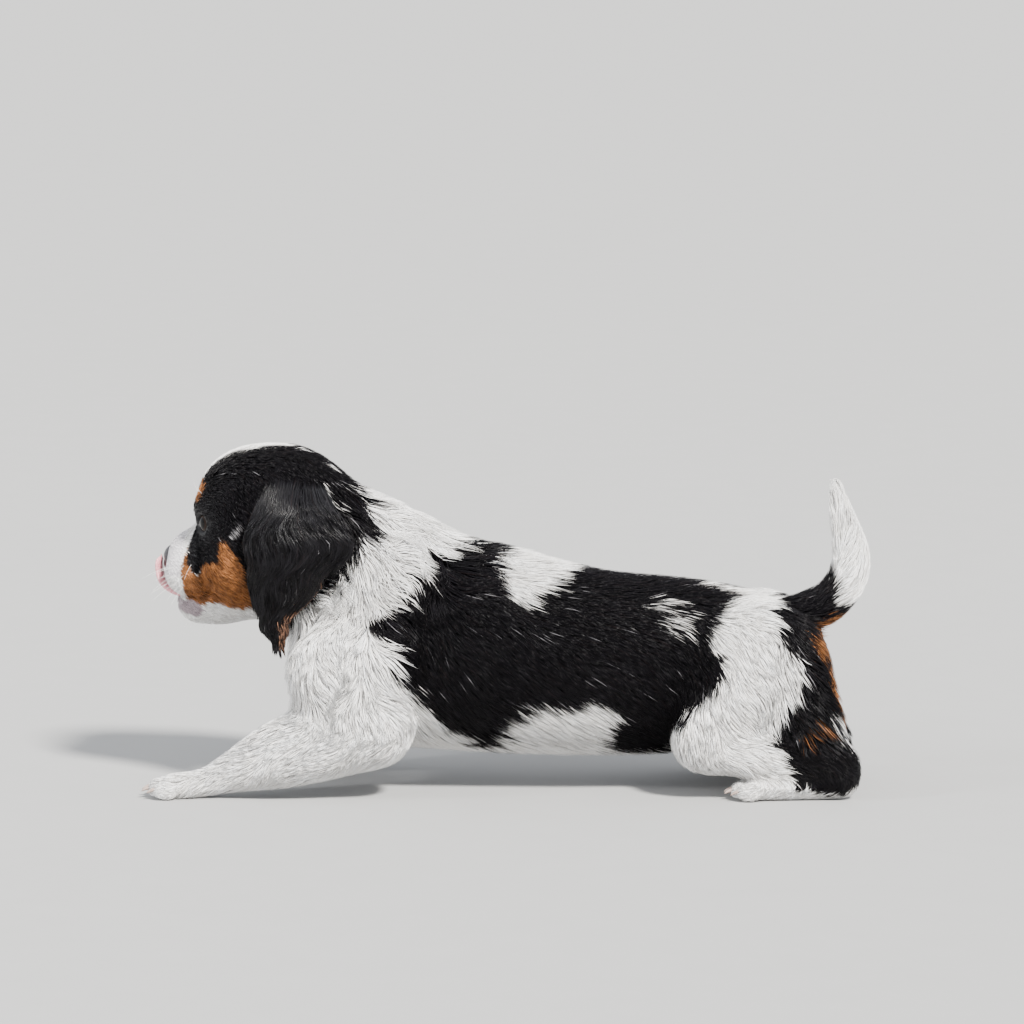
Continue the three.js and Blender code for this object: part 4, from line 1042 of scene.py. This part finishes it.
def coverEar(side, name, thing, seed):
    rng = np.random.default_rng(seed)
    locks = [earLocks(side, 1, ear["outside"], rng, seed), earLocks(side, -1, ear["inside"], rng, seed),
             drapeLocks(side, rng, seed)]
    path, out, width, tone, mapAt = (np.concatenate(part) for part in zip(*locks))
    polygons = thing.data.polygons
    uv = uvOf(thing.data)[readAll(polygons, "loop_start", 1, np.int32)[:, 0]]
    tree = treeOf(readAll(polygons, "center", 3))
    near = [tree.find(p)[1] for p in place(mapAt)]
    made = lockMesh(name, path, out, width, tone, uv[near])
    print(name, len(made.data.polygons), "faces")
    return made


ears = {}
for side, word in ((1, "Left"), (-1, "Right")):
    ears[word] = makeEar(side, "ear" + word)
    coat.append(coverEar(side, "coatEar" + word, ears[word], 90 + side))

# Eyes, nose, tongue, lips, claws, whiskers.


cornea = {"from": .72, "bulge": .035, "inset": .12}


def eyeShape(side):
    def shape(p):
        out = eyeWay(side)
        along = np.array([-out[1], out[0], 0])
        front = np.clip((p[:, 2:] - cornea["from"]) / (1 - cornea["from"]), 0, 1)
        local = p[:, 2:] * out + p[:, :1] * along + p[:, 1:2] * [0, 0, 1]
        local = local * (eye["radius"] - cornea["inset"]) * (1 + cornea["bulge"] * front)
        return fromHead(local + eyeMiddle(side))
    return shape


# Pits: forwards, to the side, up, half width and depth.
nose = {"f": 48.1, "u": -24.4, "radii": [5.5, 8.0, 7.2], "droop": .35, "groove": .9,
        "pits": [(2.6, 3.4, .3, 1.5, 1.7), (1.6, 5.7, -.9, 1.3, 1.3)]}


def noseShape(p):
    q = p * nose["radii"]
    q[:, 2] -= nose["droop"] * p[:, 1] ** 2
    front = np.clip(p[:, 0], 0, 1)
    depth = np.exp(-(q[:, 1] / .7) ** 2) * front * np.clip(-q[:, 2] / 3 + .6, 0, 1) * nose["groove"]
    for f, s, u, wide, deep in nose["pits"]:
        for side in (1, -1):
            away = ((q[:, 1] - side * s) / wide) ** 2 + ((q[:, 2] - u) / (wide * .8)) ** 2
            depth = depth + np.exp(-away) * deep * front
    q = q - unit(q) * depth[:, None]
    q[:, 0] += .5 * np.clip(p[:, 2], 0, 1)
    return fromHead(q + [nose["f"], 0, nose["u"]])


# Rows along the tongue: forwards, up, half width and half thickness.
tongue = {"rows": [[38, -39.4, 5, 1.5], [46, -39.2, 5.2, 1.6], [52, -36.2, 5, 1.6], [55, -31, 4.7, 1.5],
                   [55.4, -25.8, 4.2, 1.4], [54.6, -21.8, 2.8, 1.1]], "side": 1.0, "groove": .8}


def tongueShape(p):
    line = spline(tongue["rows"], 10)
    down, flat = downBall(p)
    t = (1 - down) * (len(line) - 1)
    row = between(line, t)
    i = np.minimum(t.astype(int), len(line) - 2)
    along = unit(line[i + 1, :2] - line[i, :2])
    ends = np.clip((1 - np.abs(p[:, 2])) * 14, 0, 1) ** .5
    flat = flat * ends[:, None]
    across = flat[:, 0] * row[:, 2] + .25 * np.sin(row[:, 1] * .9)
    hollow = tongue["groove"] * (1 - np.abs(flat[:, 0])) ** 1.5 * np.where(flat[:, 1] < 0, 1, -.2) * ends
    lift = flat[:, 1] * row[:, 3] + hollow - .5 * flat[:, 0] ** 2
    f = row[:, 0] - along[:, 1] * lift
    u = row[:, 1] + along[:, 0] * lift
    return fromHead(np.stack([f, tongue["side"] + across, u], 1))


eyes = {word: ballMesh("eye" + word, 48, 32, eyeShape(side))[0]
        for side, word in ((1, "Left"), (-1, "Right"))}
nosePad = ballMesh("nosePad", 72, 48, noseShape)[0]
tongueTip = ballMesh("tongueTip", 40, 64, tongueShape)[0]
print("eyes, nose and tongue made")


def rolls(name, lines, sides=8):
    # closed rolls with pointed ends, each from its points and a radius at each of them
    bm = bmesh.new()
    for points, radius in lines:
        points = np.array(points, float)
        fresh = bmesh.ops.create_uvsphere(bm, u_segments=sides, v_segments=len(points), radius=1.0)["verts"]
        local = np.array([v.co for v in fresh])
        down, flat = downBall(local)
        t = down * (len(points) - 1)
        i = np.minimum(t.astype(int), len(points) - 2)
        along = unit(np.gradient(points, axis=0))
        side = unit(np.cross(along, [.13, .21, .97]))
        up = np.cross(side, along)
        flat = flat * np.clip(np.hypot(local[:, 0], local[:, 1]) * 6, 0, 1)[:, None]
        thick = np.interp(t, np.arange(len(points)), radius)[:, None]
        spot = between(points, t) + (side[i] * flat[:, :1] + up[i] * flat[:, 1:]) * thick
        for v, q in zip(fresh, place(spot)):
            v.co = q
    return turnedOut(bm, name)


lidSpec = {"radius": 4.75, "long": 1.04, "tall": .9, "thick": .5, "proud": .15, "points": 40}


def lidLines():
    lines = []
    for side in (1, -1):
        out = eyeWay(side)
        across = np.array([-out[1], out[0], 0])
        angle = np.linspace(0, 2 * math.pi, lidSpec["points"])[:, None]
        forward = math.sqrt(eye["radius"] ** 2 - lidSpec["radius"] ** 2) + lidSpec["proud"]
        circle = np.cos(angle) * across * lidSpec["long"] + np.sin(angle) * [0, 0, lidSpec["tall"]]
        ring = out * forward + lidSpec["radius"] * circle
        lines.append((fromHead(ring + eyeMiddle(side)), np.full(len(angle), lidSpec["thick"])))
    return lines


mouthSpec = {"middle": [28.0, 0, -34], "reach": 112, "points": 60, "drop": .62}


def mouthLine():
    # a ray from inside the mouth for each point, followed out to the muzzle's surface
    angle = np.radians(np.linspace(-mouthSpec["reach"], mouthSpec["reach"], mouthSpec["points"]))
    way = unit(np.stack([np.cos(angle), np.sin(angle), np.full(len(angle), -mouthSpec["drop"])], 1))
    points = fromHead(mouthSpec["middle"] + way * 14)
    heading = fromHead(mouthSpec["middle"] + way) - fromHead(np.array([mouthSpec["middle"]]))
    for step in range(14):
        d = joinEggs(toHead(points), headEggs)
        points = points - heading * (d + .1)[:, None] * .8
    return points


mouth = mouthLine()
lids = rolls("lidRims", lidLines())
lips = rolls("lips", [(mouth, .75 + .25 * np.sin(np.linspace(0, math.pi, len(mouth))))])

whiskerSpec = {"count": 13, "length": (9, 19), "radius": .085, "seed": 7}
browSpec = {"count": 3, "length": 8, "radius": .07}
chinSpec = {"count": 6, "length": (4, 7), "radius": .07}


def bristle(start, sunk, way, reach, bow, radius):
    # a hair that tapers, from under the skin near start, and bends by bow at its tip
    root = outward(fromHead(np.array([start], float)), -sunk)[0]
    t = np.linspace(0, 1, 8)[:, None]
    return root + unit(way) * reach * t + bow * t * t, radius * (1 - .75 * t[:, 0])


def whiskerLines():
    rng = np.random.default_rng(whiskerSpec["seed"])
    lines = []
    for side in (1, -1):
        for k in range(whiskerSpec["count"]):
            row, col = k % 3, k // 3
            start = [46 - col * 2.6 + rng.normal() * .5, side * 13, -26 - row * 3.2 + rng.normal() * .5]
            reach = rng.uniform(*whiskerSpec["length"])
            way = headWay(.75 - .2 * col, side * .85, -.08 - .13 * row + .08 * rng.normal())
            bow = np.array([0, 0, -.16 * reach])
            lines.append(bristle(start, .6, way, reach, bow, whiskerSpec["radius"]))
        for k in range(browSpec["count"]):
            start = [30 - k, side * (13 + 2 * k), 8]
            way = headWay(.6, side * .35, .8)
            bow = headWay(-1, 0, .2) * 2.5
            lines.append(bristle(start, .4, way, browSpec["length"], bow, browSpec["radius"]))
        for k in range(chinSpec["count"]):
            start = [40 - 3 * k, side * 8, -52]
            way = headWay(.35, side * .45, -.8)
            reach = rng.uniform(*chinSpec["length"])
            lines.append(bristle(start, .3, way, reach, 0, chinSpec["radius"]))
    return lines


clawSpec = {"length": 4.3, "radius": 1.0, "drop": 1.7, "ahead": .75, "rise": .5}


def clawLines():
    t = np.linspace(0, 1, 10)[:, None]
    radius = clawSpec["radius"] * (1 - t[:, 0]) ** .55 + .05
    curve = t * [-clawSpec["length"], 0, 0] + t ** 2 * [0, 0, -clawSpec["drop"]]
    ahead = toes["radii"][0] * clawSpec["ahead"]
    return [(middle + [-ahead * grow, 0, clawSpec["rise"]] + curve, radius) for middle, grow in toeSpots()]


whiskers = rolls("whiskers", whiskerLines(), 5)
claws = rolls("claws", clawLines())
print("lids, lips, whiskers and claws made")

# Finishes.


def newFinish(name):
    material = bpy.data.materials.new(name)
    material.use_nodes = True
    return material, material.node_tree.nodes["Principled BSDF"]


def feed(material, node, inputs):
    # a socket is linked to the input, and anything else is its value
    for key, value in inputs.items():
        if isinstance(value, bpy.types.NodeSocket):
            material.node_tree.links.new(value, node.inputs[key])
        else:
            node.inputs[key].default_value = value


def newNode(material, kind, inputs, **settings):
    node = material.node_tree.nodes.new("ShaderNode" + kind)
    for key, value in settings.items():
        setattr(node, key, value)
    feed(material, node, inputs)
    return node


def newRamp(material, value, bands):
    ramp = newNode(material, "ValToRGB", {"Fac": value})
    elements = ramp.color_ramp.elements
    elements[0].position, elements[1].position = bands[0][0], bands[-1][0]
    for spot, colour in bands[1:-1]:
        elements.new(spot)
    for element, (spot, colour) in zip(elements, bands):
        element.color = (*colour, 1)
    return ramp.outputs["Color"]


def coatFinish(name, bump, specular, roughDark, roughLight):
    # the colour comes from the coat attribute, with fine grain along it, and pale hair is softer
    material, shader = newFinish(name)
    mark = newNode(material, "Attribute", {}, attribute_name="coat").outputs["Color"]
    where = newNode(material, "TexCoord", {}).outputs["Object"]
    hair = newNode(material, "TexNoise", {"Vector": where, "Scale": 1400, "Detail": 3}).outputs["Fac"]
    shade = newNode(material, "MapRange", {"Value": hair, "To Min": .72, "To Max": 1.24}).outputs["Result"]
    # a colour mix has its two colours at inputs 6 and 7, and its result at output 2
    tint = newNode(material, "Mix", {"Factor": 1, 6: mark, 7: shade},
                   data_type="RGBA", blend_type="MULTIPLY")
    light = newNode(material, "RGBToBW", {"Color": mark}).outputs["Val"]
    rough = newNode(material, "MapRange", {"Value": light, "From Min": .01, "From Max": .5,
                                           "To Min": roughDark, "To Max": roughLight})
    soft = newNode(material, "MapRange", {"Value": light, "From Min": .05, "From Max": .6, "To Max": .35})
    feed(material, shader, {"Base Color": tint.outputs[2], "Roughness": rough.outputs["Result"],
                            "Sheen Weight": soft.outputs["Result"], "Sheen Roughness": .4,
                            "Specular IOR Level": specular})
    if bump:
        lift = newNode(material, "Bump", {"Strength": bump, "Distance": .0004, "Height": hair})
        feed(material, shader, {"Normal": lift.outputs["Normal"]})
    return material


def plainFinish(name, dark, light, scale, roughness, bump=.3, distance=.0003, cells=False, wet=0.0):
    # fine grain, or cells like leather's, from a dark to a light tone
    material, shader = newFinish(name)
    where = newNode(material, "TexCoord", {}).outputs["Object"]
    if cells:
        value = newNode(material, "TexVoronoi", {"Vector": where, "Scale": scale}).outputs["Distance"]
    else:
        value = newNode(material, "TexNoise", {"Vector": where, "Scale": scale, "Detail": 4}).outputs["Fac"]
    lift = newNode(material, "Bump", {"Strength": bump, "Distance": distance, "Height": value})
    feed(material, shader, {"Base Color": newRamp(material, value, [(.25, dark), (.75, light)]),
                            "Roughness": roughness, "Coat Weight": wet, "Coat Roughness": .08,
                            "Normal": lift.outputs["Normal"]})
    return material


# An eye's rings by the cosine off its gaze, from the white to the pupil.
eyeBands = [(.0, (.34, .36, .42)), (.74, (.30, .34, .42)), (.765, (.16, .19, .26)),
            (.782, (.010, .010, .014)), (.86, (.012, .008, .006)), (.915, (.020, .010, .006)),
            (.94, (.003, .002, .002)), (1, (.001, .001, .001))]


def eyeFinish(side, name):
    # rings round the gaze: pupil, brown iris, dark rim and a blue-grey white, the white partly its own colour
    # and partly a painted reflection on the wet eye
    material, shader = newFinish(name)
    where = newNode(material, "TexCoord", {}).outputs["Object"]
    middle = Vector(place(fromHead(eyeMiddle(side)[None])[0]))
    centre = newNode(material, "VectorMath", {0: where, 1: middle}, operation="SUBTRACT")
    even = newNode(material, "VectorMath", {0: centre.outputs["Vector"]}, operation="NORMALIZE")
    gaze = Vector(headWay(*eyeWay(side)))
    dot = newNode(material, "VectorMath", {0: even.outputs["Vector"], 1: gaze}, operation="DOT_PRODUCT")
    feed(material, shader, {"Base Color": newRamp(material, dot.outputs["Value"], eyeBands),
                            "Roughness": .04, "Specular IOR Level": .14})
    return material


coatHair = coatFinish("coat hair", 0, .13, .38, .6)
earHair = coatFinish("ear hair", 0, .26, .34, .55)
skinFur = coatFinish("short fur", .8, .3, .5, .75)
rimFinish = plainFinish("dark lid", (.012, .010, .011), (.03, .024, .026), 900, .32, .3, .0002)
lipFinish = plainFinish("lip", (.035, .024, .028), (.10, .07, .078), 500, .38, .4, .0003)
noseFinish = plainFinish("nose leather", (.008, .007, .008), (.021, .018, .020), 1500, .34, .6, .0003,
                         True, .3)
tongueFinish = plainFinish("tongue", (.56, .20, .235), (.74, .34, .37), 1100, .32, .5, .0002, True, .25)
clawFinish = plainFinish("claw", (.30, .22, .19), (.50, .40, .35), 300, .35, .2, .0002)
whiskerFinish = plainFinish("whisker", (.80, .78, .75), (.9, .88, .85), 200, .35, 0, .0001)


def dress(thing, material, slot, *nodes):
    thing.data.materials.clear()
    thing.data.materials.append(material)
    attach(thing, "root")
    if nodes:
        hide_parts(*nodes)


fleshNodes = [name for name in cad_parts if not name.startswith(("eye", "ear", "nose", "tongue"))]
darkPieces = ("coatSkull", "coatEarLeft", "coatEarRight", "coatFlankLeft", "coatFlankRight")
dress(skin, skinFur, "white_coat", *fleshNodes)
for piece in coat:
    hair = earHair if "Ear" in piece.name else coatHair
    dress(piece, hair, "black_coat" if piece.name in darkPieces else "white_coat")
for side, word, node in ((1, "Left", "left"), (-1, "Right", "right")):
    dress(ears[word], skinFur, "black_coat", "ear_" + node)
    dress(eyes[word], eyeFinish(side, "eye " + node), "eye", "eye_" + node)
dress(nosePad, noseFinish, "nose_leather", "nose")
dress(tongueTip, tongueFinish, "tongue", "tongue")
dress(lids, rimFinish, "nose_leather")
dress(lips, lipFinish, "nose_leather")
dress(claws, clawFinish, "nose_leather")
dress(whiskers, whiskerFinish, "white_coat")
print("finishes on,", len(bpy.data.materials), "materials")

# Floor, light and camera.

studio = {"floor": 60.0, "world": 1.28, "worldColour": (.92, .95, 1, 1),
          "sun": 12.5, "sunSize": 9, "sunFrom": (.6, -.9, 1.1), "sunColour": (1, .97, .92),
          "fill": 22, "fillSize": .35, "fillAt": (-1.7, -.75, 1.0), "fillOn": (-.08, 0, .1)}

bm = bmesh.new()
bmesh.ops.create_grid(bm, x_segments=8, y_segments=8, size=studio["floor"] / 2)
mesh = bpy.data.meshes.new("floor")
bm.to_mesh(mesh)
bm.free()
mesh.materials.append(plainFinish("floor", (.34, .34, .337), (.35, .35, .347), 40, .85, .05, .0003))
floor = bpy.data.objects.new("floor", mesh)
bpy.context.collection.objects.link(floor)

world = bpy.data.worlds.new("studio")
bpy.context.scene.world = world
world.use_nodes = True
world.node_tree.nodes["Background"].inputs["Color"].default_value = studio["worldColour"]
world.node_tree.nodes["Background"].inputs["Strength"].default_value = studio["world"]


def aim(name, data, spot, back):
    # a lamp or camera at spot that looks away from back
    thing = bpy.data.objects.new(name, data)
    thing.location = spot
    thing.rotation_mode = "QUATERNION"
    thing.rotation_quaternion = back.to_track_quat("Z", "Y")
    bpy.context.collection.objects.link(thing)
    return thing


sun = bpy.data.lights.new("sun", "SUN")
sun.energy = studio["sun"]
sun.angle = math.radians(studio["sunSize"])
sun.color = studio["sunColour"]
aim("sun", sun, (0, 0, 0), Vector(studio["sunFrom"]))

fill = bpy.data.lights.new("front softbox", "AREA")
fill.energy = studio["fill"]
fill.shape = "DISK"
fill.size = studio["fillSize"]
aim("front softbox", fill, studio["fillAt"], Vector(studio["fillAt"]) - Vector(studio["fillOn"]))

view = {"lens": 200, "sensor": 36, "elevation": 8, "away": 2.617, "aim": (.00242, 0, .1273), "far": 100}
camera = bpy.data.cameras.new("camera")
camera.lens = view["lens"]
camera.sensor_width = view["sensor"]
camera.clip_end = view["far"]
rise = math.radians(view["elevation"])
back = Vector((0, -math.cos(rise), math.sin(rise)))
bpy.context.scene.camera = aim("camera", camera, Vector(view["aim"]) + back * view["away"], back)
print("floor, light and camera placed")
